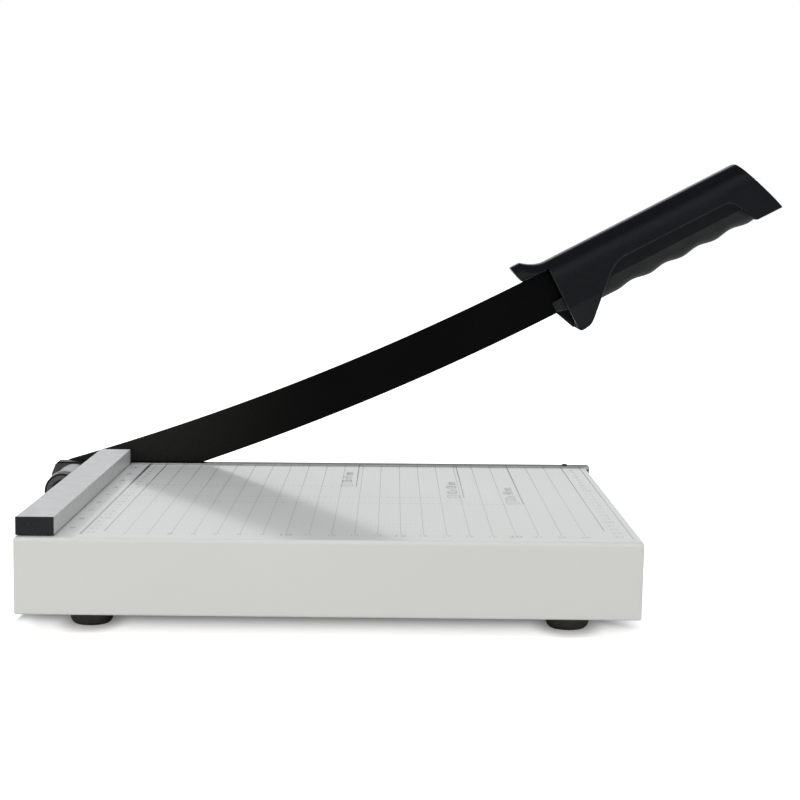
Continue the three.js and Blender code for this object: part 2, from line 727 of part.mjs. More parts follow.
// A narrow band with a bevel ground along the far side of its lower edge.
function makeArm() {
  const half = armWidth / 2;
  const rings = [];
  for (let step = 0; step <= armSteps; step += 1) {
    const along = (armLength + bladeSeat) * (step / armSteps);
    const corners = [
      [armNearFace, -half], [armNearFace + armEdgeLand, -half], [armFarFace, armGrind - half],
      [armFarFace, half], [armNearFace, half],
    ];
    rings.push(corners.map(([y, above]) => {
      const [x, z] = armPoint(along, above);
      return [x, y, z];
    }));
  }
  const inArm = (geometry) => geometry.rotateY(-handleTurn).translate(handleX, 0, handleZ);
  const heel = rodY(half, armNearFace, armFarFace, 0, 0, roundFacets * 2);
  const tangOutline = roundedRect(bladeSeat - tangRound * 2, -tangLow, tangEnd, tangHigh, tangRound);
  const tang = pullXZ(tangOutline, armNearFace, armFarFace);
  const screwBores = handleScrewPlaces().map((x) => inArm(
    rodY(handleScrewRadius + seatGap, armNearFace - overrun, armFarFace + overrun, x, handleScrewLift),
  ));
  const boreFar = armFarFace + overrun;
  const pivotBore = rodY(boltRadius + seatGap, armNearFace - overrun, boreFar, 0, 0, roundFacets);
  return cut(joined(loft(rings), heel, inArm(tang)), pivotBore, ...screwBores);
}
addPiece(arm, 'cutting_arm', makeArm(), paint.enamel);

// Handle

// The outline of the handle's outer shell in X and Z: horn, guard, pocket edge and pommel.
function handleOutline() {
  const bladeTop = armWidth / 2 + seatGap * 2;
  const hornHeight = handleTop + hornRise - bladeTop;
  const atGuard = ([x, z]) => [guardLength * x, -guardDrop * z];
  const atPommel = ([x, z]) => [
    handleTopEnd + (handleLength - handleTopEnd) * x, (handleTop + pommelDrop) * z - pommelDrop,
  ];
  const outline = new THREE.Shape();
  outline.moveTo(-hornLength, bladeTop + hornHeight * hornTipShare);
  outline.quadraticCurveTo(
    -hornLength * hornCurveShares[0], bladeTop + hornHeight * hornCurveShares[1],
    -hornLength * hornHeelShare, bladeTop,
  );
  outline.lineTo(0, bladeTop);
  outline.lineTo(...atGuard(guardShares[0]));
  outline.quadraticCurveTo(...atGuard(guardShares[1]), ...atGuard(guardShares[2]));
  outline.quadraticCurveTo(...atGuard(guardShares[3]), guardLength, -guardTurn);
  outline.lineTo(pocketStart * pocketEdgeShares[0], -guardTurn * pocketEdgeShares[1]);
  outline.quadraticCurveTo(pocketStart * pocketEdgeShares[2], 0, pocketStart, 0);
  outline.lineTo(pocketEnd, 0);
  const pocketTurn = pocketEnd + (pommelNeck - pocketEnd) * pommelEaseShare;
  outline.quadraticCurveTo(pocketTurn, 0, pommelNeck, -pocketHeight);
  outline.lineTo(pommelHeel, -pommelDrop);
  outline.lineTo(handleLength, -pommelDrop);
  outline.quadraticCurveTo(...atPommel(pommelShares[0]), ...atPommel(pommelShares[1]));
  outline.quadraticCurveTo(...atPommel(pommelShares[2]), handleTopEnd, handleTop);
  outline.lineTo(handleTopEnd, handleTop + hornRise + overrun);
  outline.lineTo(-hornLength, handleTop + hornRise + overrun);
  return outline;
}

// Zero at 0 and one at 1, with level ends.
function ease(share) {
  const held = Math.min(Math.max(share, 0), 1);
  return (1 - Math.cos(Math.PI * held)) / 2;
}

// The handle's cross section at `x`: upright sides under a rounded back, wider at the pommel
// and narrower towards the horn.
function handleSection(x) {
  const horn = Math.min(Math.max(-x / (hornLength * hornRunShare), 0), 1);
  const top = handleTop + hornRise * horn ** hornBendShare;
  const flare = pommelFlare * ease((x - handleLength + pommelFlareLength) / pommelFlareLength);
  const half = handleHalfWidth - hornTaper * ease(-x / hornLength) + flare;
  const low = -guardDrop - overrun;
  const section = [[x, armMiddle - half, low], [x, armMiddle + half, low]];
  for (let step = 0; step <= backSteps; step += 1) {
    const angle = Math.PI * (step / backSteps);
    const side = Math.cos(angle);
    const centre = armMiddle + Math.sign(side) * (half - handleTopRound);
    section.push([x, centre + handleTopRound * side, top - handleTopRound * (1 - Math.sin(angle))]);
  }
  return section;
}

function handleStations() {
  const stations = [];
  for (let step = 0; step < hornSteps; step += 1) {
    stations.push(-(hornLength + overrun) * (1 - step / hornSteps));
  }
  stations.push(0);
  for (let step = 0; step <= flareSteps; step += 1) {
    stations.push(handleLength - pommelFlareLength * (1 - step / flareSteps));
  }
  stations.push(handleLength + overrun);
  return stations;
}

// The finger grooves' depth at `x`.
function gripLow(x) {
  const turns = Math.max((x - gripFirstCrest) / gripPitch, 0);
  return -gripDrop - gripWave * Math.cos(Math.PI * 2 * turns);
}

// The grip strip, or with `extra` the space that it needs in the shells.
function makeGrip(extra) {
  const half = gripHalfWidth + extra;
  const shoulder = gripTop - gripShoulder;
  const rings = [];
  for (let step = 0; step <= waveSteps; step += 1) {
    const share = step / waveSteps;
    const x = gripStart - extra + (gripEnd - gripStart + extra * 2) * share;
    const depth = shoulder - gripLow(x) + extra;
    const section = [[x, armMiddle + half, gripTop + extra], [x, armMiddle - half, gripTop + extra]];
    for (let turn = 0; turn <= underSteps; turn += 1) {
      const angle = Math.PI * (1 + turn / underSteps);
      section.push([x, armMiddle + half * Math.cos(angle), shoulder + depth * Math.sin(angle)]);
    }
    rings.push(section);
  }
  return loft(rings);
}

// Both shells in one piece, hollowed for the blade, the tang, the grip strip and the screws.
function makeHandleBody() {
  const near = armMiddle - handleHalfWidth;
  const far = armMiddle + handleHalfWidth;
  const wide = handleHalfWidth + pommelFlare + overrun;
  const outer = common(
    loft(handleStations().map(handleSection)), pullXZ(handleOutline(), armMiddle - wide, armMiddle + wide),
  );
  const inner = box(
    [gripStart, near + pocketDepth, -pocketHeight],
    [pommelNeck + pocketDepth, far - pocketDepth, pocketDepth],
  );
  const bladeTop = armWidth / 2 + seatGap * 2;
  const [frontFloor, middleFloor, turnFloor] = guardFloorShares.map((share) => guardWall * share);
  const bladeRoom = pullXZ(polygon([
    [-hornLength - overrun, bladeTop], [-overrun, frontFloor - guardDrop],
    [guardLength / 2, middleFloor - guardDrop], [bladeSeat + seatGap, turnFloor - guardTurn],
    [bladeSeat + seatGap, bladeTop],
  ]), near + guardWall, far - guardWall);
  const tangRoom = box(
    [0, armNearFace - seatGap, -tangLow - seatGap],
    [tangEnd + seatGap, armFarFace + seatGap, tangHigh + seatGap],
  );
  const headSeat = far - handleScrewSink;
  const screwRooms = handleScrewPlaces().flatMap((x) => [
    rodY(handleScrewRadius + seatGap, near + handleScrewEnd - seatGap, headSeat, x, handleScrewLift),
    rodY(handleScrewHeadRadius + seatGap, headSeat - seatGap, far + overrun, x, handleScrewLift),
  ]);
  return cut(joined(outer, inner), bladeRoom, tangRoom, makeGrip(seatGap), ...screwRooms);
}

// One side of the handle, on the near side of the arm's middle plane or on its far side.
function handleSide(body, side) {
  const reach = handleLength + hornLength;
  const inner = armMiddle + side * seatGap / 2;
  const outer = armMiddle + side * reach;
  return common(body, box([-reach, Math.min(inner, outer), -reach], [reach, Math.max(inner, outer), reach]));
}

function makeFarShell(body) {
  const wallFar = armMiddle + handleHalfWidth;
  const shelf = pullXZ(polygon([
    [guardWall, -armWidth / 2 + fingerShelf / 2], [-fingerShelf, -armWidth / 2 + guardWall],
    [-fingerShelf, -armWidth / 2 - seatGap], [-fingerShelfToe, -fingerShelfDrop],
    [guardWall, -fingerShelfDrop],
  ].reverse()), wallFar - guardWall, wallFar);
  return joined(handleSide(body, 1), shelf);
}

const handleBody = makeHandleBody();
addPiece(handle, 'handle_shell_near', handleSide(handleBody, -1), paint.plastic);
addPiece(handle, 'handle_shell_far', makeFarShell(handleBody), paint.plastic);
addPiece(handle, 'finger_grip', makeGrip(0), paint.grip);

handleScrewPlaces().forEach((x, place) => {
  const side = ['front', 'middle', 'rear'][place];
  const seat = armMiddle + handleHalfWidth - handleScrewSink;
  const end = armMiddle - handleHalfWidth + handleScrewEnd;
  const screw = panScrew(handleScrewHeadRadius, handleScrewHeadHeight, handleScrewRadius, seat - end);
  addPiece(handle, `handle_screw_${side}`, screw, paint.zinc).position.set(x, seat, handleScrewLift);
});

// The stop block sits against the blade inside the guard, with a stepped nose that looks out of it.
function makeStop() {
  const side = pullXZ(polygon([
    [-stopReach, -stopTop - stopSlope / 4], [-stopReach, stopSlope - stopDrop],
    [0, -stopDrop], [stopTail, -stopDrop], [stopTail, -stopTop], [0, -stopTop],
  ]), -stopThickness - overrun, overrun);
  const plan = raiseXY(polygon([
    [-stopReach - overrun, 0], [-stopReach - overrun, -stopNose], [-stopReach, -stopNose],
    [stopNoseLength - stopReach, -stopThickness], [stopTail + overrun, -stopThickness],
    [stopTail + overrun, 0],
  ]), -stopDrop - overrun, overrun);
  return common(side, plan);
}
addPiece(handle, 'closing_stop', makeStop(), paint.plastic);

// Assembly

handle.position.set(handleX, 0, handleZ);
handle.rotation.y = -handleTurn;
arm.add(handle);
arm.position.set(pivotX, 0, pivotZ);
arm.rotation.y = -armRaise;
trimmer.add(arm);

const room = new THREE.Box3().setFromObject(trimmer, true);
trimmer.position.set(-(room.min.x + room.max.x) / 2, -(room.min.y + room.max.y) / 2, -room.min.z);

export default trimmer;
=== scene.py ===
"""The looks of a desk paper trimmer: printed steel bed, fence, edge bar, curved arm and moulded handle."""
import functools
import json
import math

import bpy
import bmesh
from mathutils import Matrix, Vector


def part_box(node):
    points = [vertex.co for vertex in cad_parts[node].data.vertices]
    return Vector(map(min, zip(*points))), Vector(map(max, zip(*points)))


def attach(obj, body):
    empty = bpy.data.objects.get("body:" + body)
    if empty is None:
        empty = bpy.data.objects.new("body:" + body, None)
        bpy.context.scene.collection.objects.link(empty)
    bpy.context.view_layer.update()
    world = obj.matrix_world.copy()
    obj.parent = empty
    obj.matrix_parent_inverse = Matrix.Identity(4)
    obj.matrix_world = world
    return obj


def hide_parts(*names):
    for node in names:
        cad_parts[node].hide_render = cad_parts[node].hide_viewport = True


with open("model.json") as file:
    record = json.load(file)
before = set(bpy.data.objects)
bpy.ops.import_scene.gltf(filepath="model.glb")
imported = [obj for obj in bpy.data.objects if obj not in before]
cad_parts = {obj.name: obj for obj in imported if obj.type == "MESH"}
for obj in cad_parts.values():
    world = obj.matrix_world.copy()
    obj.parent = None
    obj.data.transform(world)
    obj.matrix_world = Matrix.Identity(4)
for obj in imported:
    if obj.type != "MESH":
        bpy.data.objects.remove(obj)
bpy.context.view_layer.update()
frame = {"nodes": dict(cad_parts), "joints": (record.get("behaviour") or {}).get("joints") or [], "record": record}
scene = bpy.context.scene

# Sizes are millimetres. Three placings turn them into the frame's metres:
# DRAWING: X from the fence's inner face, Y from the cutting edge, Z from the bed
# ARM: pivot axis at the origin, X along the arm's root
# HANDLE: X along the handle from its front edge, Z above the arm's centre line
MM = 0.001
TO_METRES = Matrix.Scale(MM, 4)
tray_low, tray_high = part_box("base_tray")
ORIGIN = Vector((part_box("paper_fence")[1].x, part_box("fixed_blade")[1].y, tray_high.z))
DRAWING = Matrix.Translation(ORIGIN) @ TO_METRES
PIVOT = Vector(frame["joints"][0]["pos_m"])

ARM_RAISE = math.radians(16.52)
ARM_SWEEP_RADIUS = 1494.0
ARM_LENGTH = 290.7
ARM_WIDTH = 24.1
ARM_THICKNESS = 3.0
SEAT_GAP = 0.3
HANDLE_TURN = ARM_LENGTH / ARM_SWEEP_RADIUS


def arm_point(along, above):
    """X and Z of a point on the arm, in the arm's own frame."""
    angle = along / ARM_SWEEP_RADIUS
    radius = ARM_SWEEP_RADIUS - above
    return radius * math.sin(angle), ARM_SWEEP_RADIUS - radius * math.cos(angle)


arm_place = Matrix.Translation((PIVOT.x, ORIGIN.y, PIVOT.z)) @ Matrix.Rotation(-ARM_RAISE, 4, "Y")
handle_x, handle_z = arm_point(ARM_LENGTH, 0)
handle_place = (
    arm_place @ Matrix.Translation((handle_x * MM, 0, handle_z * MM)) @ Matrix.Rotation(-HANDLE_TURN, 4, "Y")
)
ARM = arm_place @ TO_METRES
HANDLE = handle_place @ TO_METRES


def drawing_box(node):
    """Lowest and highest corners of a CAD node, in millimetres in the drawing's frame."""
    low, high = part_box(node)
    return (low - ORIGIN) / MM, (high - ORIGIN) / MM


# Camera: fitted to the photograph's 800 by 800 frame
CAMERA_PLACE = (146.19, -1040.18, 134.56)
CAMERA_PITCH = math.radians(5.4079)
CAMERA_YAW = math.radians(-1.2098)
CAMERA_ROLL = math.radians(0.3264)
CAMERA_FOCAL_PIXELS = 1860.9
CAMERA_MIDDLE_X = 353.2
PHOTO_PIXELS = 800
SENSOR_WIDTH = 36.0


def make_camera():
    forward = Vector((
        math.sin(CAMERA_YAW) * math.cos(CAMERA_PITCH),
        math.cos(CAMERA_YAW) * math.cos(CAMERA_PITCH),
        -math.sin(CAMERA_PITCH),
    ))
    level = Vector((math.cos(CAMERA_YAW), -math.sin(CAMERA_YAW), 0))
    upright = level.cross(forward)
    right = level * math.cos(CAMERA_ROLL) + upright * math.sin(CAMERA_ROLL)
    up = upright * math.cos(CAMERA_ROLL) - level * math.sin(CAMERA_ROLL)
    turn = Matrix((right, up, -forward)).transposed().to_4x4()
    data = bpy.data.cameras.new("camera")
    data.sensor_width = SENSOR_WIDTH
    data.lens = CAMERA_FOCAL_PIXELS / PHOTO_PIXELS * SENSOR_WIDTH
    data.shift_x = 0.5 - CAMERA_MIDDLE_X / PHOTO_PIXELS
    data.clip_start = 0.01
    camera = bpy.data.objects.new("camera", data)
    camera.matrix_world = Matrix.Translation(DRAWING @ Vector(CAMERA_PLACE)) @ turn
    scene.collection.objects.link(camera)
    scene.camera = camera


make_camera()

# Finishes

# Most values of a noise lie between these
NOISE_RANGE = (0.3, 0.7)


def node_of(tree, kind, inputs, **settings):
    """A new shader node. Its inputs are given as values, or as sockets to link."""
    node = tree.nodes.new("ShaderNode" + kind)
    for name, value in settings.items():
        setattr(node, name, value)
    for name, value in inputs.items():
        if isinstance(value, bpy.types.NodeSocket):
            tree.links.new(value, node.inputs[name])
        else:
            node.inputs[name].default_value = value
    return node


def ramp(tree, value, start, end, low=0.0, high=1.0):
    """Rises smoothly from low at start to high at end."""
    ends = {"From Min": start, "From Max": end, "To Min": low, "To Max": high}
    node = node_of(tree, "MapRange", {"Value": value, **ends}, interpolation_type="SMOOTHSTEP")
    return node.outputs["Result"]


def axis_of(tree, vector, axis):
    return node_of(tree, "SeparateXYZ", {"Vector": vector}).outputs[axis]


class Finish:
    """A node material whose textures are measured in the frame's metres."""

    def __init__(self, name, colour, roughness, metallic=0.0, specular=0.5):
        self.material = bpy.data.materials.new(name)
        self.material.use_nodes = True
        self.tree = self.material.node_tree
        self.shader = self.tree.nodes["Principled BSDF"]
        self.place = node_of(self.tree, "TexCoord", {}).outputs["Object"]
        self.roughness = roughness
        self.set("Base Color", (*colour, 1))
        self.set("Roughness", roughness)
        self.set("Metallic", metallic)
        self.set("Specular IOR Level", specular)

    def set(self, socket, value):
        self.shader.inputs[socket].default_value = value

    def gloss(self, weight, roughness):
        """A smooth clear layer over the colour."""
        self.set("Coat Weight", weight)
        self.set("Coat Roughness", roughness)

    def noise(self, size, detail=3.0, stretch=(1, 1, 1)):
        """A noise whose grains are about `size` millimetres across, times `stretch` along each axis."""
        scale = [1 / (size * MM * share) for share in stretch]
        place = node_of(self.tree, "Mapping", {"Vector": self.place, "Scale": scale}).outputs["Vector"]
        noise = node_of(self.tree, "TexNoise", {"Vector": place, "Scale": 1, "Detail": detail})
        return noise.outputs["Fac"]

    def spread(self, value, low, high):
        """Maps a noise to low and high."""
        return ramp(self.tree, value, *NOISE_RANGE, low, high)

    def shift(self, factor, other):
        """The colour moves towards `other` by a factor."""
        base = self.shader.inputs["Base Color"]
        before = base.links[0].from_socket if base.is_linked else base.default_value
        mix = node_of(self.tree, "Mix", {"A": before, "B": (*other, 1), "Factor": factor}, data_type="RGBA")
        self.tree.links.new(mix.outputs["Result"], base)

    def mottle(self, value, other, share=1.0):
        """The colour wanders between its own value and `other` with a noise."""
        self.shift(self.spread(value, 0, share), other)

    def fade(self, other, axis, start, end, share=1.0):
        """The colour fades towards `other` along one of the frame's axes."""
        self.shift(ramp(self.tree, axis_of(self.tree, self.place, axis), start, end, 0.0, share), other)

    def vary_roughness(self, value, spread):
        """The roughness wanders by up to `spread` either way with a noise."""
        varied = self.spread(value, self.roughness - spread, self.roughness + spread)
        self.tree.links.new(varied, self.shader.inputs["Roughness"])

    def relief(self, value, height, strength):
        """Bumps of about `height` millimetres."""
        sizes = {"Distance": height * MM, "Strength": strength}
        bump = node_of(self.tree, "Bump", {"Height": value, **sizes})
        self.tree.links.new(bump.outputs["Normal"], self.shader.inputs["Normal"])


BED_ROUGHNESS = 0.5
BED_SPECULAR = 0.2
BED_GLOSS = 0.50
BED_GLOSS_ROUGHNESS = 0.10
BED_COLOUR = (0.645, 0.643, 0.626)


def powder_coat():
    finish = Finish("powder_coat", BED_COLOUR, BED_ROUGHNESS, specular=BED_SPECULAR)
    finish.gloss(BED_GLOSS, BED_GLOSS_ROUGHNESS)
    finish.mottle(finish.noise(45, 1), (0.639, 0.637, 0.620))
    finish.mottle(finish.noise(0.8, 2), (0.634, 0.632, 0.615), 0.6)
    finish.vary_roughness(finish.noise(3, 2), 0.015)
    finish.relief(finish.noise(1.3, 2), 0.0012, 0.5)
    return finish.material


# Metres along X from the fence where the painted reflection on the enamel starts and is full
ENAMEL_REFLECTION_FADE = (0.115, -0.030)


def black_enamel():
    """The enamel is painted a little greyer towards the pivot, as a painted reflection of the pale bed and fence.
    """
    finish = Finish("black_enamel", (0.0006, 0.0006, 0.0005), 0.30, specular=0.07)
    finish.mottle(finish.noise(30), (0.0010, 0.0010, 0.0009))
    # Painted reflection: the colour greys towards the pivot, where the pale bed and fence would shine in the
    # enamel
    start, end = ENAMEL_REFLECTION_FADE
    finish.fade((0.020, 0.020, 0.019), "X", ORIGIN.x + start, ORIGIN.x + end)
    finish.vary_roughness(finish.noise(5), 0.05)
    finish.relief(finish.noise(0.8, 2), 0.004, 0.4)
    return finish.material


def grained(name, colour, other, size, roughness, specular=0.5, metallic=0.0, uneven=None, bumps=None):
    """The colour wanders over `size` millimetres; `uneven` is for the gloss and `bumps` for the relief."""
    finish = Finish(name, colour, roughness, metallic, specular)
    finish.mottle(finish.noise(size), other)
    if uneven:
        gloss_size, spread = uneven
        finish.vary_roughness(finish.noise(gloss_size), spread)
    if bumps:
        bump_size, detail, height, strength = bumps
        finish.relief(finish.noise(bump_size, detail), height, strength)
    return finish.material


def moulded_plastic(name, specular):
    return grained(
        name, (0.0044, 0.0056, 0.0073), (0.0053, 0.0066, 0.0084), 18, 0.28, specular,
        uneven=(3, 0.03), bumps=(0.45, 2, 0.0015, 0.4),
    )


def lined_steel(name, colour, other, roughness, size, stretch, height):
    """Grinding lines run the way of the stretch."""
    finish = Finish(name, colour, roughness, metallic=1.0)
    lines = finish.noise(size, 3, stretch)
    finish.mottle(lines, other)
    finish.vary_roughness(lines, 0.06)
    finish.relief(lines, height, 0.5)
    return finish


def ground_steel():
    finish = lined_steel(
        "ground_steel", (0.088, 0.088, 0.091), (0.135, 0.135, 0.140), 0.20, 0.5, (60, 1, 1), 0.004,
    )
    finish.set("Specular Tint", (0.37, 0.37, 0.37, 1))
    return finish.material


def blade_edge_steel(name, colour, stretch):
    return lined_steel(name, [colour] * 3, [colour * 1.15] * 3, 0.28, 0.2, stretch, 0.003).material


def fence_enamel():
    """Fine lines run along the drawn channel under its grey coat."""
    finish = Finish("fence_coat", (0.500, 0.503, 0.500), 0.36, specular=0.35)
    lines = finish.noise(0.3, 3, stretch=(1, 120, 1))
    finish.mottle(lines, (0.525, 0.528, 0.525))
    finish.vary_roughness(finish.noise(6), 0.05)
    finish.relief(lines, 0.003, 0.4)
    return finish.material


def natural_nylon():
    finish = Finish("natural_nylon", (0.40, 0.394, 0.384), 0.42, specular=0.4)
    finish.set("Subsurface Weight", 0.08)
    finish.set("Subsurface Scale", 0.002)
    finish.mottle(finish.noise(4), (0.435, 0.427, 0.414))
    finish.relief(finish.noise(0.6), 0.006, 0.4)
    return finish.material


# Metres along Y from the cutting edge where the painted sheen on the ink starts and is full
INK_SHEEN_FADE = (-0.010, -0.150)
# Colour the blue line pales to: a painted sheen of the backdrop in the bed's gloss
BLUE_SHEEN_PALE = (0.43, 0.40, 0.38)


def print_ink(name, colour, sheen_colour=BED_COLOUR, share=0.5):
    """Ink painted paler towards the user's side, a painted reflection of the backdrop in the bed's gloss, under
    the bed's own gloss.
    """
    finish = Finish(name, colour, BED_ROUGHNESS, specular=BED_SPECULAR)
    finish.gloss(BED_GLOSS, BED_GLOSS_ROUGHNESS)
    paler = [min(channel * 1.35 + 0.03, 1) for channel in colour]
    finish.mottle(finish.noise(1.5), paler)
    # Painted reflection: the ink pales towards the user's side, where the bed's gloss mirrors the white backdrop
    start, end = INK_SHEEN_FADE
    finish.fade(sheen_colour, "Y", ORIGIN.y + start, ORIGIN.y + end, share)
    return finish.material


FINISHES = {
    "tray": powder_coat(),
    "blade": ground_steel(),
    "zinc": grained(
        "zinc_plate", (0.56, 0.56, 0.545), (0.66, 0.65, 0.61), 2.5, 0.36, metallic=1.0,
        uneven=(1.2, 0.08), bumps=(0.3, 2, 0.004, 0.4),
    ),
    "aluminium": fence_enamel(),
    "nylon": natural_nylon(),
    "enamel": black_enamel(),
    "plastic": moulded_plastic("moulded_plastic", 0.34),
    "grip": grained(
        "grip_rubber", (0.0150, 0.0151, 0.0158), (0.020, 0.0202, 0.0211), 9, 0.72, 0.30,
        bumps=(0.5, 3, 0.03, 0.6),
    ),
    "rubber": grained(
        "foot_rubber", (0.046, 0.046, 0.044), (0.057, 0.056, 0.053), 5, 0.66, 0.30,
        bumps=(0.4, 3, 0.03, 0.5),
    ),
}
SLOTS = {entry["node"]: entry["material_slot"] for entry in frame["record"]["subparts"]}

# Finishes of single pieces and faces: the grey strip under the fence, painted shade along its foot, the dish in
# the nut, the handle's faces that look towards the pivot, the light beads on its edges that are painted
# highlights, and the bar's unground sides
# Painted shade: a grey strip that darkens the line where the fence meets the bed
SHADE_STRIP_GREY = grained("shade_strip_grey", [0.32] * 3, [0.38] * 3, 2, 0.6, 0.3)
DISH_GREY = grained(
    "dish_grey", (0.13, 0.13, 0.145), (0.17, 0.17, 0.185), 3, 0.32, 0.4, bumps=(0.6, 2, 0.003, 0.4),
)
DULL_PLASTIC = grained("dull_plastic", (0.0056, 0.0062, 0.0072), (0.0070, 0.0076, 0.0088), 4, 0.85, 0.1)
# Painted highlight: lighter grey for the beads along the handle's edges
RIM_HIGHLIGHT_GREY = grained("rim_highlight_grey", (0.016, 0.017, 0.019), (0.024, 0.025, 0.028), 6, 0.35, 0.3)
CAST_STEEL = grained("cast_steel", [0.060] * 3, [0.085] * 3, 1.5, 0.5, 0.3, 0.6, bumps=(0.7, 3, 0.03, 0.5))

# Shape helpers. Points are millimetres in one of the three placings.


def mesh_of(name, points, faces, placing=None):
    """A mesh with merged points and faces that look outwards."""
    mesh = bpy.data.meshes.new(name)
    mesh.from_pydata([Vector(point) for point in points], [], faces)
    body = bmesh.new()
    body.from_mesh(mesh)
    bmesh.ops.remove_doubles(body, verts=body.verts, dist=1e-4)
    bmesh.ops.recalc_face_normals(body, faces=body.faces)
    body.to_mesh(mesh)
    body.free()
    if placing is not None:
        mesh.transform(placing)
    return mesh


def added(name, mesh):
    piece = bpy.data.objects.new(name, mesh)
    scene.collection.objects.link(piece)
    return piece


def modify(piece, kind, **settings):
    modifier = piece.modifiers.new(kind.lower(), kind)
    for name, value in settings.items():
        setattr(modifier, name, value)


def shown(name, mesh, slot, body, replaced=(), material=None, sharp_angle=35, flat_sides=True):
    """Adds a finished piece that rides on a body and may stand for CAD nodes."""
    piece = added(name, mesh)
    mesh.materials.clear()
    mesh.materials.append(material or FINISHES[slot])
    mesh.shade_smooth()
    mesh.set_sharp_from_angle(angle=math.radians(sharp_angle))
    if flat_sides:
        modify(piece, "WEIGHTED_NORMAL", keep_sharp=True)
    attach(piece, body)
    if replaced:
        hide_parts(*replaced)
    return piece


def loft(rings, closed=False):
    """Joins rings with as many points each. The last ring joins the first where it is closed."""
    count = len(rings[0])
    points = [point for ring in rings for point in ring]
    faces = []
    for start in range(len(rings) if closed else len(rings) - 1):
        a = start * count
        b = (start + 1) % len(rings) * count
        faces += [(a + i, a + (i + 1) % count, b + (i + 1) % count, b + i) for i in range(count)]
    if not closed:
        faces += [tuple(range(count)), tuple(range(len(points) - count, len(points)))]
    return points, faces


def eased(outline, radius, steps=4, most=0.45):
    """Rounds each corner of a closed outline, over at most this share of a side."""
    rounded = []
    for i, corner in enumerate(outline):
        corner = Vector(corner)
        before = Vector(outline[i - 1]) - corner
        after = Vector(outline[(i + 1) % len(outline)]) - corner
        start = corner + before.normalized() * min(radius, before.length * most)
        end = corner + after.normalized() * min(radius, after.length * most)
        for step in range(steps + 1):
            t = step / steps
            rounded.append(start.lerp(corner, t).lerp(corner.lerp(end, t), t))
    return rounded


def turned(profile, facets=72):
    """A closed profile of radius and height pairs, turned about Z."""
    rings = []
    for step in range(facets):
        angle = 2 * math.pi * step / facets
        rings.append([(r * math.cos(angle), r * math.sin(angle), z) for r, z in profile])
    return loft(rings, closed=True)


ALONG_Y = Matrix.Rotation(-math.pi / 2, 4, "X")


def curve_points(start, control, end, steps=16):
    """A quadratic curve without its first point."""
    start, control, end = Vector(start), Vector(control), Vector(end)
    shares = [(step + 1) / steps for step in range(steps)]
    return [start.lerp(control, t).lerp(control.lerp(end, t), t) for t in shares]


def evaluated_mesh(piece):
    graph = bpy.context.evaluated_depsgraph_get()
    return bpy.data.meshes.new_from_object(piece.evaluated_get(graph))


def applied(piece):
    """Turns a piece's modifiers into its mesh."""
    mesh = evaluated_mesh(piece)
    piece.modifiers.clear()
    piece.data = mesh
    return piece


def combined(piece, mesh, operation):
    """Joins, cuts or intersects a solid piece with a solid mesh."""
    second = added("second", mesh)
    modify(piece, "BOOLEAN", operation=operation, object=second, solver="EXACT")
    applied(piece)
    bpy.data.objects.remove(second)
    return piece


def softened(piece, voxel, rounds):
    """Remeshes a solid and rounds its edges, as a moulding's are."""
    modify(piece, "REMESH", mode="VOXEL", voxel_size=voxel)
    modify(piece, "SMOOTH", factor=0.5, iterations=rounds)
    return applied(piece)


def box_mesh(low, high):
    corners = [(x, y, z) for x in (low[0], high[0]) for y in (low[1], high[1]) for z in (low[2], high[2])]
    faces = [(0, 1, 3, 2), (4, 6, 7, 5), (0, 4, 5, 1), (2, 3, 7, 6), (0, 2, 6, 4), (1, 5, 7, 3)]
    return mesh_of("box", corners, faces)


def rounded_box(low, high, radius):
    """A box with rounded edges."""
    body = bmesh.new()
    body.from_mesh(box_mesh(low, high))
    bmesh.ops.bevel(
        body, geom=body.edges[:], offset=radius, segments=4, profile=0.5, affect="EDGES", clamp_overlap=True,
    )
    mesh = bpy.data.meshes.new("rounded_box")
    body.to_mesh(mesh)
    body.free()
    return mesh


def prism_mesh(outline, start, end):
    """An outline in X and Z, pulled along Y."""
    return mesh_of("prism", *loft([[(x, start, z) for x, z in outline], [(x, end, z) for x, z in outline]]))


# How far a cutting shape passes what it cuts
OVERRUN = 2.0


def rod_mesh(radius, start, end, x, z, facets=64):
    """A round rod along Y."""
    turns = [2 * math.pi * facet / facets for facet in range(facets)]
    ring = [(x + radius * math.cos(turn), z + radius * math.sin(turn)) for turn in turns]
    return prism_mesh(ring, start, end)


# Angles from 0 to a quarter turn
BEND_STEPS = 8
BEND = [math.pi / 2 * step / BEND_STEPS for step in range(BEND_STEPS + 1)]

# Tray

TRAY_SHEET = 1.2
TRAY_BEND = 1.9
TRAY_CORNER = 0.8
TRAY_DROP = 0.5
TRAY_TRIM = 0.35
TRAY_LEAN = 0.022
TRAY_SIDE_BEND = 0.3
TRAY_LOWER_BEND = 1.0
TRAY_LIP = 14.0


def tray_loop(inset, z, side_share=1.0, steps=10):
    """The tray's outline at a height, drawn in by an inset, at the sides by a share of it."""
    low, high = drawing_box("base_tray")
    left = low.x + TRAY_TRIM + inset * side_share
    right = high.x - inset * side_share + TRAY_LEAN * z
    near, far = low.y + inset, high.y - inset
    radius = max(TRAY_CORNER - inset, SEAT_GAP)
    centres = [
        (right - radius, near + radius), (right - radius, far - radius),
        (left + radius, far - radius), (left + radius, near + radius),
    ]
    loop = []
    for corner, (x, y) in enumerate(centres):
        for step in range(steps + 1):
            angle = math.pi / 2 * (corner - 1 + step / steps)
            loop.append((x + radius * math.cos(angle), y + radius * math.sin(angle), z))
    return loop


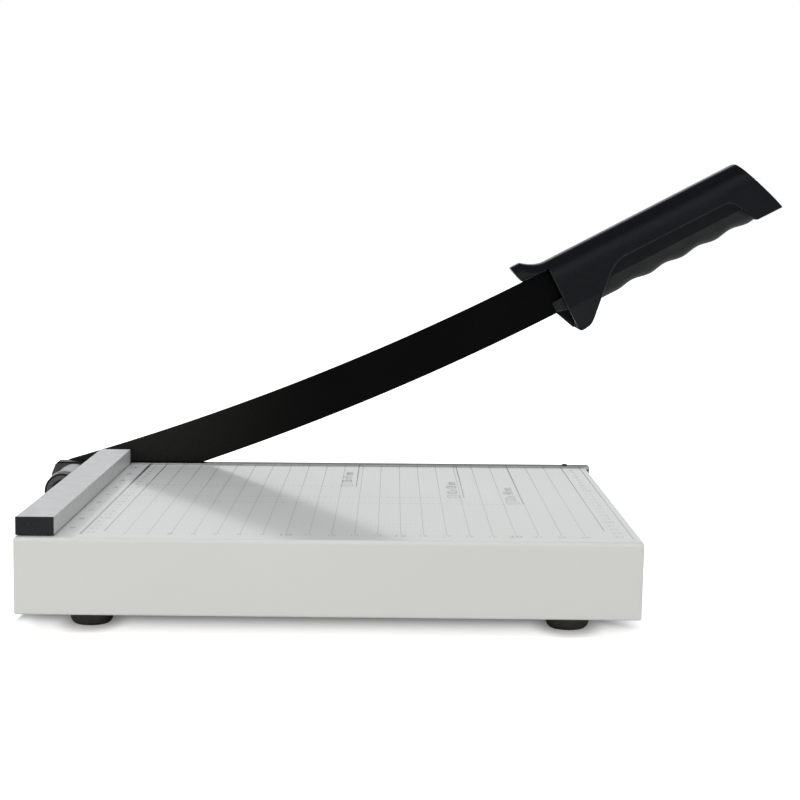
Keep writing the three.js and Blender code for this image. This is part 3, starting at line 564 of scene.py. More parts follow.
def make_tray():
    """One folded sheet, turned in below as a lip."""
    floor = drawing_box("base_tray")[0].z - TRAY_DROP
    inner_bend = TRAY_BEND - TRAY_SHEET
    loops = [(TRAY_BEND * (1 - math.sin(a)), -TRAY_BEND * (1 - math.cos(a)), TRAY_SIDE_BEND) for a in BEND]
    loops += [
        (TRAY_LOWER_BEND * (1 - math.cos(a)), floor + TRAY_LOWER_BEND * (1 - math.sin(a))) for a in BEND
    ]
    loops += [(TRAY_LIP, floor), (TRAY_LIP, floor + TRAY_SHEET), (TRAY_SHEET, floor + TRAY_SHEET)]
    loops += [
        (TRAY_SHEET + inner_bend * (1 - math.cos(a)), -TRAY_BEND + inner_bend * math.sin(a)) for a in BEND
    ]
    rings = [tray_loop(*loop) for loop in loops]
    shown("tray", mesh_of("tray", *loft(rings), DRAWING), "tray", "base", ["base_tray"])


make_tray()

# Print on the bed: a rule of centimetre lines, rows of dots, plain numbers and size marks

PRINT_LIFT = 0.03
CENTIMETRE = 10.0
INCH = 25.4
RULE_LINES = 25
RULE_SHIFT = 0.3
# X, near end and width of the bolder lines, by number
BOLD_LINES = {
    1: (11.3, -245.0, 1.3), 2: (20.5, -236.7, 0.5), 24: (240.3, -225.0, 0.5), 25: (250.5, -245.5, 0.45),
}
RULE_LINE = 0.3
PRINT_NEAR = -240.0
PRINT_FAR = -10.6
DOT_PITCH = 2.0
DOT_SIZE = 0.5
# Right and near edges of the paper sizes that are marked
SIZE_MARKS = [(128, -91), (182, -128), (210, -148)]
SIZE_MARK_LINE = 0.6
SIZE_LINK_DASH = 1.4
SIZE_LINK_WIDTH = 0.6
SIZE_TEXT = 5.5
SIZE_TEXT_RAISE = 33.6
SIZE_BOX = 6.0
SIZE_BOX_RAISE = 4.8
MARK_LIFT = 0.045
NUMBER_HEIGHT = 3.2
FIVES_HEIGHT = 4.6
SIDE_NUMBER_HEIGHT = 4.0
NUMBER_ROW = -242.4
SIDE_COLUMNS = {"left_numbers": (15.0, "ink_grey"), "right_numbers": (245.0, "ink_pale")}
INCHES = 9
# Font size of a digit one unit high
DIGIT_SCALE = 1.4

INKS = {
    "ink_blue": print_ink("ink_blue", (0.012, 0.020, 0.060), BLUE_SHEEN_PALE, 0.85),
    "ink_dark": print_ink("ink_dark", (0.040, 0.042, 0.050)),
    "ink_grey": print_ink("ink_grey", (0.16, 0.17, 0.20)),
    "ink_pale": print_ink("ink_pale", (0.25, 0.26, 0.28)),
}


def patch(x, y, width, depth):
    """A flat oblong of print round a centre."""
    return [
        (x - width / 2, y - depth / 2), (x + width / 2, y - depth / 2),
        (x + width / 2, y + depth / 2), (x - width / 2, y + depth / 2),
    ]


def print_piece(name, points, faces, ink):
    mesh = bpy.data.meshes.new(name)
    mesh.from_pydata(points, [], faces)
    mesh.transform(DRAWING)
    shown(name, mesh, "tray", "base", material=INKS[ink])


def printed(name, patches, ink, lift=PRINT_LIFT):
    points = [(x, y, lift) for outline in patches for x, y in outline]
    faces = [tuple(range(first, first + 4)) for first in range(0, len(points), 4)]
    print_piece(name, points, faces, ink)


def rule_line(x, near, width):
    return patch(x, (near + PRINT_FAR) / 2, width, PRINT_FAR - near)


def make_rule():
    numbers = [n for n in range(1, RULE_LINES + 1) if n not in BOLD_LINES]
    fine = [rule_line(n * CENTIMETRE + RULE_SHIFT, PRINT_NEAR, RULE_LINE) for n in numbers]
    printed("rule_lines", fine, "ink_grey")
    printed("rule_first_line", [rule_line(*BOLD_LINES[1])], "ink_blue")
    printed("rule_bold_lines", [rule_line(*BOLD_LINES[n]) for n in (2, 24, 25)], "ink_dark")


def make_dots():
    """A row of dots each centimetre, from the second line to the last but one."""
    rows = int(-PRINT_NEAR // CENTIMETRE)
    columns = int((RULE_LINES - 3) * CENTIMETRE / DOT_PITCH)
    dots = [
        patch(2 * CENTIMETRE + (column + 0.5) * DOT_PITCH, -row * CENTIMETRE, DOT_SIZE, DOT_SIZE)
        for row in range(2, rows + 1) for column in range(columns)
    ]
    printed("rule_dots", dots, "ink_grey")


def make_size_marks():
    """An upright, a dashed line across and a small box for each paper size."""
    uprights, links, boxes = [], [], []
    for x, near in SIZE_MARKS:
        uprights.append(rule_line(x, near, SIZE_MARK_LINE))
        for dash in range(int((x - CENTIMETRE) / (SIZE_LINK_DASH * 2))):
            place = x - (dash + 0.5) * SIZE_LINK_DASH * 2
            links.append(patch(place, near, SIZE_LINK_DASH, SIZE_LINK_WIDTH))
        centre, middle = x - CENTIMETRE / 2, near + SIZE_BOX_RAISE
        for side in (-0.5, 0.5):
            boxes.append(patch(centre + side * SIZE_BOX, middle, RULE_LINE, SIZE_BOX))
            boxes.append(patch(centre, middle + side * SIZE_BOX, SIZE_BOX, SIZE_LINK_WIDTH))
    printed("size_marks", uprights, "ink_dark", MARK_LIFT)
    printed("size_links", links, "ink_dark")
    printed("size_boxes", boxes, "ink_dark", MARK_LIFT)


@functools.cache
def number_mesh(text):
    """A flat text centred on its middle, at font size 1."""
    curve = bpy.data.curves.new("number", "FONT")
    curve.body = text
    curve.align_x = "CENTER"
    curve.align_y = "CENTER"
    curve.resolution_u = 3
    piece = added("number", curve)
    mesh = evaluated_mesh(piece)
    bpy.data.objects.remove(piece)
    return mesh


def printed_numbers(name, numbers, ink, turn=0.0):
    """Numbers as (text, x, y, height), joined in one mesh."""
    points, faces = [], []
    for text, x, y, height in numbers:
        mesh = number_mesh(text)
        start = len(points)
        placing = Matrix.Translation((x, y, PRINT_LIFT)) @ Matrix.Rotation(turn, 4, "Z")
        placing = placing @ Matrix.Scale(height * DIGIT_SCALE, 4)
        points += [placing @ vertex.co for vertex in mesh.vertices]
        faces += [tuple(start + i for i in polygon.vertices) for polygon in mesh.polygons]
    print_piece(name, points, faces, ink)


def make_numbers():
    near_numbers = range(3, RULE_LINES - 1)
    ones = [(str(n), n * CENTIMETRE, NUMBER_ROW, NUMBER_HEIGHT) for n in near_numbers if n % 5]
    printed_numbers("near_numbers", ones, "ink_grey")
    fives = [(str(n), n * CENTIMETRE, NUMBER_ROW, FIVES_HEIGHT) for n in near_numbers if n % 5 == 0]
    printed_numbers("near_fives", fives, "ink_dark")
    for name, (x, ink) in SIDE_COLUMNS.items():
        column = []
        for n in range(1, int(-PRINT_NEAR // CENTIMETRE) + 1):
            height = NUMBER_HEIGHT if n % 5 else SIDE_NUMBER_HEIGHT
            column.append((str(n), x, -n * CENTIMETRE, height))
        printed_numbers(name, column, ink)
    inches = [(str(n), CENTIMETRE / 2, -n * INCH, FIVES_HEIGHT) for n in range(1, INCHES + 1)]
    printed_numbers("inch_numbers", inches, "ink_dark")
    sizes = [
        (f"{x} x {-near} mm", x - CENTIMETRE / 2, near + SIZE_TEXT_RAISE, SIZE_TEXT) for x, near in SIZE_MARKS
    ]
    printed_numbers("size_numbers", sizes, "ink_dark", math.pi / 2)


make_rule()
make_dots()
make_size_marks()
make_numbers()

# Fence

FENCE_WALL = 1.6
FENCE_LIP = 3.0
FENCE_EDGE = 0.45
FENCE_SPREAD = 0.25
# Shifts along X at the near and the far end
FENCE_SKEWS = (0.65, -0.3)
# A grey strip just under the fence's edge: painted shade, a dark line along the fence's foot
SHADE_STRIP_WIDTH = 2.0
SHADE_STRIP_PROUD = 0.05
SHADE_STRIP_LOW = 0.04
CAP_FACE = 0.6
CAP_ROUND = 0.2


def fence_placed(mesh):
    """Turns the fence a little about Z, as it sits on the bed, and places it."""
    low, high = drawing_box("paper_fence")
    near_shift, far_shift = FENCE_SKEWS
    for vertex in mesh.vertices:
        share = (vertex.co.y - low.y) / (high.y - low.y)
        vertex.co.x += near_shift + (far_shift - near_shift) * share
    mesh.transform(DRAWING)
    return mesh


def make_fence():
    low, high = drawing_box("paper_fence")
    left, right = low.x - FENCE_SPREAD, high.x + FENCE_SPREAD
    inner_left, inner_right = left + FENCE_WALL, right - FENCE_WALL
    roof, lip = high.z - FENCE_WALL, low.z + FENCE_WALL
    section = [
        (left, low.z), (inner_left + FENCE_LIP, low.z), (inner_left + FENCE_LIP, lip), (inner_left, lip),
        (inner_left, roof), (inner_right, roof), (inner_right, lip), (inner_right - FENCE_LIP, lip),
        (inner_right - FENCE_LIP, low.z), (right, low.z), (right, high.z), (left, high.z),
    ]
    cap_low, cap_high = drawing_box("fence_end_cap")
    outline = eased(section, FENCE_EDGE)
    mesh = prism_mesh(outline, cap_low.y + CAP_FACE, high.y)
    shown("fence", fence_placed(mesh), "aluminium", "base", ["paper_fence"])
    # The strip under the fence's edge is painted shade along its foot
    mesh = box_mesh(
        (right - SHADE_STRIP_WIDTH, low.y, SHADE_STRIP_LOW), (right + SHADE_STRIP_PROUD, high.y, low.z - SHADE_STRIP_LOW),
    )
    shown("fence_shade_strip", fence_placed(mesh), "grip", "base", material=SHADE_STRIP_GREY)
    face_far = cap_low.y + CAP_FACE - PRINT_LIFT
    mesh = rounded_box((left, cap_low.y, cap_low.z), (right, face_far, cap_high.z), CAP_ROUND)
    shown("fence_cap", fence_placed(mesh), "plastic", "base", ["fence_end_cap"], sharp_angle=60)


make_fence()

# Feet

FOOT_BORE = 2.2
FOOT_POCKET = 4.4
FOOT_POCKET_DEPTH = 5.0
FOOT_BOTTOM = 6.7
FOOT_ROUNDING = 4.2
FOOT_TRIM = 0.25
FOOT_EDGE = 0.5


def make_foot(node):
    low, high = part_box(node)
    radius = (high.x - low.x) / 2 / MM - FOOT_TRIM
    height = (high.z - low.z) / MM
    profile = [
        (FOOT_BOTTOM + (radius - FOOT_BOTTOM) * math.sin(a), FOOT_ROUNDING * (1 - math.cos(a))) for a in BEND
    ]
    profile += [
        (radius, height - FOOT_EDGE), (radius - FOOT_EDGE, height), (FOOT_BORE, height),
        (FOOT_BORE, FOOT_POCKET_DEPTH), (FOOT_POCKET, FOOT_POCKET_DEPTH), (FOOT_POCKET, 0),
    ]
    placing = Matrix.Translation(((low.x + high.x) / 2, (low.y + high.y) / 2, low.z)) @ TO_METRES
    shown(node + "_rubber", mesh_of("foot", *turned(profile), placing), "rubber", "base", [node])


FEET = [node for node in frame["nodes"] if SLOTS[node] == "rubber"]
for node in FEET:
    make_foot(node)

# Sleeve, washer and nut on the pivot bolt

BOLT_BORE = 4.3
SLEEVE_NEAR_RADIUS = 9.0
SLEEVE_FAR_RADIUS = 10.0
SLEEVE_BORE = 7.7
SLEEVE_EASE = 2.2
WASHER_EASE = 0.35
NUT_RIM = 0.7
NUT_EDGE = 0.5
NUT_DISH = 2.4
NUT_DISH_WIDTH = 2.2

# A face leans towards an axis, or lies square to it, from these shares of its normal
LEANS = 0.3
SQUARE = 0.95


def pivot_size(node):
    """Radius and length of a CAD node on the bolt."""
    low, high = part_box(node)
    return (high.z - low.z) / 2 / MM, (high.y - low.y) / MM


def pivot_piece(name, node, profile, rounding):
    """A turned piece on the bolt's axis; heights run from its near end to its far end."""
    placing = Matrix.Translation((PIVOT.x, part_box(node)[0].y, PIVOT.z)) @ TO_METRES @ ALONG_Y
    mesh = mesh_of(name, *turned(eased(profile, rounding)), placing)
    return shown(name, mesh, SLOTS[node], "base", [node])


def make_pivot():
    length = pivot_size("spring_sleeve")[1]
    pivot_piece("sleeve", "spring_sleeve", [
        (SLEEVE_BORE, 0), (SLEEVE_NEAR_RADIUS, 0), (SLEEVE_FAR_RADIUS, length), (SLEEVE_BORE, length),
    ], SLEEVE_EASE)
    radius, length = pivot_size("spring_washer")
    pivot_piece("seat_washer", "spring_washer", [
        (BOLT_BORE, 0), (radius, 0), (radius, length), (BOLT_BORE, length),
    ], WASHER_EASE)
    radius, length = pivot_size("pivot_nut")
    dish = radius - NUT_EDGE - NUT_RIM
    nut = pivot_piece("nut", "pivot_nut", [
        (BOLT_BORE, NUT_DISH), (dish - NUT_DISH_WIDTH, NUT_DISH), (dish, 0), (radius, 0), (radius, length),
        (BOLT_BORE, length),
    ], NUT_EDGE)
    nut.data.materials.append(DISH_GREY)
    for polygon in nut.data.polygons:
        reach = Vector((polygon.center.x - PIVOT.x, polygon.center.z - PIVOT.z)).length
        if dish - NUT_DISH_WIDTH < reach / MM < dish and abs(polygon.normal.y) < SQUARE:
            polygon.material_index = 1


make_pivot()

# Cutting arm

ARM_LAND = 0.5
ARM_GRIND = 2.6
ARM_EASE = 0.25
ARM_STEPS = 150
HEEL_STEPS = 24
BLADE_SEAT = 12.0
ARM_NEAR = SEAT_GAP
ARM_FAR = SEAT_GAP + ARM_THICKNESS


def arm_ring(along, half):
    """A section of the arm: flat near face, eased top corners and a bevel ground on the far side."""
    grind = min(ARM_GRIND, half / 2)
    section = [
        (ARM_NEAR, -half), (ARM_NEAR + ARM_LAND, -half), (ARM_FAR, grind - half), (ARM_FAR, half - ARM_EASE),
        (ARM_FAR - ARM_EASE, half), (ARM_NEAR + ARM_EASE, half), (ARM_NEAR, half - ARM_EASE),
    ]
    places = [(y, arm_point(along, above)) for y, above in section]
    return [(x, y, z) for y, (x, z) in places]


def make_arm():
    """The arm's band, with its rounded heel and the bolt's bore."""
    half = ARM_WIDTH / 2
    rings = []
    for step in range(1, HEEL_STEPS):
        angle = math.pi / 2 * step / HEEL_STEPS
        rings.append(arm_ring(-half * math.cos(angle), half * math.sin(angle)))
    for step in range(ARM_STEPS + 1):
        rings.append(arm_ring((ARM_LENGTH + BLADE_SEAT) * step / ARM_STEPS, half))
    band = added("band", mesh_of("arm_band", *loft(rings)))
    bore = rod_mesh(BOLT_BORE, ARM_NEAR - OVERRUN, ARM_FAR + OVERRUN, 0, 0)
    mesh = combined(band, bore, "DIFFERENCE").data
    bpy.data.objects.remove(band)
    mesh.transform(ARM)
    shown("arm_band", mesh, "enamel", "arm", ["cutting_arm"], sharp_angle=25)
    mesh.materials.append(blade_edge_steel("blade_edge_steel", 0.50, (1, 1, 40)))
    for polygon in mesh.polygons:
        if LEANS < polygon.normal.y < SQUARE:
            polygon.material_index = 1


make_arm()

# Handle

HALF_WIDTH = 13.5
TOP = 16.95
BACK_START = -2.0
BACK_SQUARENESS = 3.4
LENGTH = 128.5
TOP_END = 116.6
POMMEL_DROP = 15.75
POMMEL_NECK = 108.3
POMMEL_HEEL = 113.4
POMMEL_FLARE = 1.8
POMMEL_FLARE_LENGTH = 30.0
GUARD_DROP = 25.9
GUARD_LENGTH = 13.4
GUARD_TURN = 19.6
GUARD_WALL = 2.3
GUARD_CREASE = 12.0
GUARD_FLARES = (3.2, 1.5)
GUARD_FLARE_END = 24.0
HORN_LENGTH = 18.5
HORN_RISE = 5.65
HORN_TAPER = 3.5
HORN_BEND = 1.85
POCKET_START = 40.3
POCKET_END = 101.2
POCKET_DEPTH = 2.0
POCKET_HEIGHT = 7.2
GRIP_START = 15.4
GRIP_END = POMMEL_HEEL - SEAT_GAP
GRIP_HALF_WIDTH = 11.4
GRIP_TOP = -7.25
GRIP_TUCK = 0.8
GRIP_TAIL = 1.2
GRIP_DROP = 15.35
GRIP_WAVE = 0.7
GRIP_PITCH = 20.2
GRIP_FIRST_CREST = 29.0
GRIP_SHOULDER = 2.2
GRIP_EDGE = 0.25
GRIP_EDGE_BULGE = 0.3
TANG_LOW = 5.0
TANG_HIGH = 9.0
TANG_END = 103.6
SHELF_REACH = 6.2
SHELF_TOE = 1.1
SHELF_DROP = 24.5
SCREW_PLACES = [LENGTH * share for share in (0.19, 0.46, 0.73)]
SCREW_LIFT = 5.0
SCREW_HEAD_RADIUS = 3.2
SCREW_SINK = 4.5
MIDDLE = SEAT_GAP + ARM_THICKNESS / 2
VOXEL = 0.3
VOXEL_ROUNDS = 12
BLADE_TOP = ARM_WIDTH / 2 + SEAT_GAP * 2
HORN_STEPS = 30
BODY_STEPS = 90

# Points and curves that the outline and its rims share
GUARD_FOOT = (-0.3, -GUARD_DROP * 0.94)
GUARD_BACK = (GUARD_LENGTH, -GUARD_TURN)
POCKET_FOOT = (POCKET_START * 0.635, -GUARD_TURN * 0.43)
POCKET_TURN = ((POCKET_START * 0.84, 0), (POCKET_START, 0))
NECK_TURN = ((POCKET_END + (POMMEL_NECK - POCKET_END) * 0.7, 0), (POMMEL_NECK, -POCKET_HEIGHT))


def ease(share):
    """Zero at 0 and one at 1, with level ends."""
    held = min(max(share, 0), 1)
    return (1 - math.cos(math.pi * held)) / 2


def handle_outline():
    """Horn, guard, pocket edge and pommel, in the handle's X and Z."""
    horn_height = TOP + HORN_RISE - BLADE_TOP
    pommel_height = TOP + POMMEL_DROP
    outline = [Vector((-HORN_LENGTH, BLADE_TOP + horn_height * 0.95))]

    def corner(x, z):
        outline.append(Vector((x, z)))

    def curve(control, end):
        outline.extend(curve_points(outline[-1], control, end))

    def pommel(x, z):
        return TOP_END + (LENGTH - TOP_END) * x, pommel_height * z - POMMEL_DROP

    curve((-HORN_LENGTH * 0.94, BLADE_TOP + horn_height * 0.3), (-HORN_LENGTH * 0.86, BLADE_TOP))
    corner(0, BLADE_TOP)
    corner(*GUARD_FOOT)
    curve((-0.25, -GUARD_DROP * 0.995), (GUARD_LENGTH * 0.1, -GUARD_DROP))
    curve((GUARD_LENGTH * 0.2, -GUARD_DROP * 1.003), (GUARD_LENGTH * 0.396, -GUARD_DROP * 0.986))
    curve((GUARD_LENGTH * 0.634, -GUARD_DROP * 0.965), GUARD_BACK)
    corner(*POCKET_FOOT)
    curve(*POCKET_TURN)
    corner(POCKET_END, 0)
    curve(*NECK_TURN)
    corner(POMMEL_HEEL, -POMMEL_DROP)
    corner(LENGTH, -POMMEL_DROP)
    curve(pommel(0.84, 0.268), pommel(0.097, 0.953))
    curve(pommel(0.063, 0.995), (TOP_END, TOP))
    corner(TOP_END, TOP + HORN_RISE + OVERRUN)
    corner(-HORN_LENGTH, TOP + HORN_RISE + OVERRUN)
    return outline


def handle_ring(x, back_steps=64):
    """The handle's cross section: flared guard and sides that round over into the back."""
    horn = min(max(-x / (HORN_LENGTH * 0.67), 0), 1)
    top = TOP + HORN_RISE * horn ** HORN_BEND
    flare = POMMEL_FLARE * ease((x - LENGTH + POMMEL_FLARE_LENGTH) / POMMEL_FLARE_LENGTH)
    half = HALF_WIDTH - HORN_TAPER * ease(-x / HORN_LENGTH) + flare
    fading = 1 - ease((x - GUARD_LENGTH) / (GUARD_FLARE_END - GUARD_LENGTH))
    near_flare, far_flare = [flare_width * fading for flare_width in GUARD_FLARES]
    low = -GUARD_DROP - OVERRUN
    ring = [
        (x, MIDDLE - half - near_flare, low), (x, MIDDLE + half + far_flare, low),
        (x, MIDDLE + half, -GUARD_CREASE),
    ]
    power = 2 / BACK_SQUARENESS
    for step in range(back_steps + 1):
        angle = math.pi * step / back_steps
        side = math.copysign(abs(math.cos(angle)) ** power, math.cos(angle))
        rise = abs(math.sin(angle)) ** power
        ring.append((x, MIDDLE + half * side, BACK_START + (top - BACK_START) * rise))
    ring.append((x, MIDDLE - half, -GUARD_CREASE))
    return ring


def grip_low(x):
    """Depth of the finger grooves; the grip is level ahead of the first crest."""
    turns = max((x - GRIP_FIRST_CREST) / GRIP_PITCH, 0)
    return -GRIP_DROP - GRIP_WAVE * math.cos(2 * math.pi * turns)


def grip_mesh(extra, top, end, steps=160, under_steps=28):
    """The finger grip, or with `extra` the room for it in the shells, up to a top and an end."""
    half = GRIP_HALF_WIDTH + extra
    shoulder = GRIP_TOP - GRIP_SHOULDER
    bulge = GRIP_EDGE * GRIP_EDGE_BULGE
    edge = [(half, top - GRIP_EDGE), (half - bulge, top - bulge), (half - GRIP_EDGE, top)]
    rings = []
    for step in range(steps + 1):
        x = GRIP_START - extra + (end - GRIP_START + extra * 2) * step / steps
        depth = shoulder - grip_low(x) + extra
        ring = [(x, MIDDLE + wide, z) for wide, z in edge]
        ring += [(x, MIDDLE - wide, z) for wide, z in reversed(edge)]
        for turn in range(under_steps + 1):
            angle = math.pi * (1 + turn / under_steps)
            ring.append((x, MIDDLE + half * math.cos(angle), shoulder + depth * math.sin(angle)))
        rings.append(ring)
    return mesh_of("grip", *loft(rings))


def handle_body():
    """Both shells in one piece, hollowed for the blade, the tang, the grip and the screws."""
    near, far = MIDDLE - HALF_WIDTH, MIDDLE + HALF_WIDTH
    wide = HALF_WIDTH + POMMEL_FLARE + OVERRUN
    stations = [-(HORN_LENGTH + OVERRUN) * (1 - step / HORN_STEPS) for step in range(HORN_STEPS)]
    stations += [LENGTH * step / BODY_STEPS for step in range(BODY_STEPS + 1)] + [LENGTH + OVERRUN]
    body = added("handle", mesh_of("handle", *loft([handle_ring(x) for x in stations])))
    combined(body, prism_mesh(handle_outline(), MIDDLE - wide, MIDDLE + wide), "INTERSECT")
    inner = box_mesh(
        (GRIP_START, near + POCKET_DEPTH, -POCKET_HEIGHT),
        (POMMEL_NECK + POCKET_DEPTH, far - POCKET_DEPTH, POCKET_DEPTH),
    )
    combined(body, inner, "UNION")
    room = [
        (-HORN_LENGTH - OVERRUN, BLADE_TOP), (-OVERRUN, GUARD_WALL * 1.5 - GUARD_DROP),
        (GUARD_LENGTH / 2, GUARD_WALL * 1.7 - GUARD_DROP),
        (BLADE_SEAT + SEAT_GAP, GUARD_WALL * 0.5 - GUARD_TURN), (BLADE_SEAT + SEAT_GAP, BLADE_TOP),
    ]
    tang = box_mesh(
        (0, ARM_NEAR - SEAT_GAP, -TANG_LOW - SEAT_GAP),
        (TANG_END + SEAT_GAP, ARM_FAR + SEAT_GAP, TANG_HIGH + SEAT_GAP),
    )
    grip = grip_mesh(SEAT_GAP, GRIP_TOP, GRIP_END)
    cuts = [prism_mesh(room, near + GUARD_WALL, far - GUARD_WALL), tang, grip]
    radius, seat = SCREW_HEAD_RADIUS + SEAT_GAP, far - SCREW_SINK - SEAT_GAP
    cuts += [rod_mesh(radius, seat, far + OVERRUN, x, SCREW_LIFT) for x in SCREW_PLACES]
    for mesh in cuts:
        combined(body, mesh, "DIFFERENCE")
    return body


def make_shell(body, side, node, material):
    """One half of the handle, remeshed so that its edges are rounded like a moulding's."""
    reach = LENGTH + HORN_LENGTH
    inner, outer = MIDDLE + side * SEAT_GAP / 2, MIDDLE + side * reach
    half = box_mesh((-reach, min(inner, outer), -reach), (reach, max(inner, outer), reach))
    shell = combined(added(node, body.data.copy()), half, "INTERSECT")
    if side > 0:
        wall = MIDDLE + HALF_WIDTH
        shelf = [
            (GUARD_WALL, SHELF_REACH / 2 - ARM_WIDTH / 2), (-SHELF_REACH, GUARD_WALL - ARM_WIDTH / 2),
            (-SHELF_REACH, -ARM_WIDTH / 2 - SEAT_GAP), (-SHELF_TOE, -SHELF_DROP), (GUARD_WALL, -SHELF_DROP),
        ]
        combined(shell, prism_mesh(shelf, wall - GUARD_WALL, wall), "UNION")
    softened(shell, VOXEL, VOXEL_ROUNDS)
    mesh = shell.data
    bpy.data.objects.remove(shell)
    guard_floor = GUARD_WALL * 2 - GUARD_DROP
    facing = [
        polygon.index for polygon in mesh.polygons
        if polygon.normal.x < -LEANS and (polygon.center.z < guard_floor or polygon.center.x > POMMEL_NECK)
    ]
    mesh.transform(HANDLE)
    shown(node + "_moulding", mesh, "plastic", "arm", [node], material, 180, flat_sides=False)
    mesh.materials.append(DULL_PLASTIC)
    for index in facing:
        mesh.polygons[index].material_index = 1


# Light grey beads along the pocket's and the guard's edges: painted highlights where the rounded edges catch light
RIM_RADIUS = 0.22
RIM_INSET = 0.16
RIM_TOP_GAP = 1.0


def near_wall(x, z):
    """Y of the near side of the handle, between the back and the guard's edge."""
    ring = handle_ring(x)
    crease, foot = ring[-1], ring[0]
    share = min(max((crease[2] - z) / (crease[2] - foot[2]), 0), 1)
    return crease[1] + (foot[1] - crease[1]) * share


def rim_mesh(path, sides=10):
    """A thin round bead that follows an edge of the near wall."""
    rings = []
    for i, place in enumerate(path):
        way = (path[min(i + 1, len(path) - 1)] - path[max(i - 1, 0)]).normalized()
        across = Vector((-way.y, way.x))
        x, z = place + across * RIM_INSET
        y = near_wall(place.x, place.y) + RIM_INSET
        ring = []
        for side in range(sides):
            angle = 2 * math.pi * side / sides
            out = across * math.cos(angle) * RIM_RADIUS
            ring.append((x + out.x, y + math.sin(angle) * RIM_RADIUS, z + out.y))
        rings.append(ring)
    return mesh_of("rim", *loft(rings))


def line_points(start, end, steps):
    """Points from start to end, both included."""
    return [Vector(start).lerp(Vector(end), step / steps) for step in range(steps + 1)]


def make_rims():
    pocket = line_points(GUARD_BACK, POCKET_FOOT, 12)
    pocket += curve_points(POCKET_FOOT, *POCKET_TURN)
    pocket += line_points((POCKET_START, 0), (POCKET_END, 0), 30)[1:]
    pocket += curve_points((POCKET_END, 0), *NECK_TURN)
    front = line_points((0, BLADE_TOP - RIM_TOP_GAP), GUARD_FOOT, 24)
    for name, path in (("pocket_highlight_rim", pocket), ("guard_highlight_rim", front)):
        mesh = rim_mesh(path)
        mesh.transform(HANDLE)
        # Lighter than the moulding: a painted highlight along each edge
        shown(name, mesh, "plastic", "arm", material=RIM_HIGHLIGHT_GREY, sharp_angle=60)


def make_handle():
    body = handle_body()
    material = moulded_plastic("handled_plastic", 0.155)
    make_shell(body, -1, "handle_shell_near", material)
    make_shell(body, 1, "handle_shell_far", material)
    bpy.data.objects.remove(body)
    mesh = grip_mesh(0, GRIP_TOP + GRIP_TUCK, GRIP_END + GRIP_TAIL)
    mesh.transform(HANDLE)
    shown("finger_grip_rubber", mesh, "grip", "arm", ["finger_grip"], sharp_angle=60)
    make_rims()


make_handle()

# Bright near edge of the bar, just above the bed, and the low domed head of the rivet in it

BAR_EDGE_PROUD = 0.05
BAR_EDGE_DROP = 0.8
BAR_EDGE_GAP = 0.06
RIVET_HEAD = 1.0
RIVET_SHANK = 1.0
RIVET_RADIUS = 1.5
RIVET_RISE = 0.45
bar_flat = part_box("fixed_blade_rivet")[1].z - RIVET_HEAD * MM


def make_bar_edge():
    low, high = drawing_box("fixed_blade")
    mesh = rounded_box(
        (SEAT_GAP, low.y - BAR_EDGE_PROUD, -BAR_EDGE_DROP),
        (high.x - SEAT_GAP, low.y + BAR_EDGE_PROUD, (bar_flat - ORIGIN.z) / MM - BAR_EDGE_GAP),
        BAR_EDGE_PROUD / 2,
    )
    mesh.transform(DRAWING)
    shown("bar_edge", mesh, "blade", "base", material=blade_edge_steel("bar_edge_steel", 0.55, (60, 1, 1)))


def make_rivet():
    low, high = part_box("fixed_blade_rivet")
    middle = (low + high) / 2
    placing = Matrix.Translation((middle.x, middle.y, bar_flat)) @ TO_METRES
    profile = [(0, -RIVET_SHANK), (RIVET_RADIUS, -RIVET_SHANK), (RIVET_RADIUS, 0)]
    profile += [(RIVET_RADIUS * math.cos(a), RIVET_RISE * math.sin(a)) for a in BEND]
    mesh = mesh_of("rivet", *turned(profile, 36), placing)
    shown("rivet_head", mesh, "blade", "base", ["fixed_blade_rivet"])


make_bar_edge()
make_rivet()

# The rest of the CAD nodes keep their shape, with eased edges and a finish

EDGE_EASE = {"fixed_blade": 0.25, "closing_stop": 0.35}
SMALL_EASE = 0.12


def finish_node(node, piece):
    piece.data.materials.clear()
    piece.data.materials.append(FINISHES[SLOTS[node]])
    if node == "fixed_blade":
        piece.data.materials.append(CAST_STEEL)
        for polygon in piece.data.polygons:
            polygon.material_index = int(polygon.normal.z < LEANS)
    normals = piece.data.attributes.get("custom_normal")
    if normals:
        piece.data.attributes.remove(normals)
    piece.data.shade_smooth()
    modify(piece, "WELD", merge_threshold=1e-6)
    modify(piece, "DECIMATE", decimate_type="DISSOLVE", angle_limit=math.radians(1))
    modify(
        piece, "BEVEL", width=EDGE_EASE.get(node, SMALL_EASE) * MM, segments=3, limit_method="ANGLE",
        angle_limit=math.radians(35),
    )
    modify(piece, "WEIGHTED_NORMAL", keep_sharp=True)


for node, piece in frame["nodes"].items():
    if not piece.hide_render:
        finish_node(node, piece)

# Floor, backdrop and lights, in metres

FLOOR_REACH = 6.0
# Painted shadow: the floor's colour and glow are lower under and near the tray, and round each foot
FLOOR_SHADOW_COLOURS = (0.22, 0.82)
FLOOR_SHADOW_GLOWS = (0.12, 0.69, 0.92)
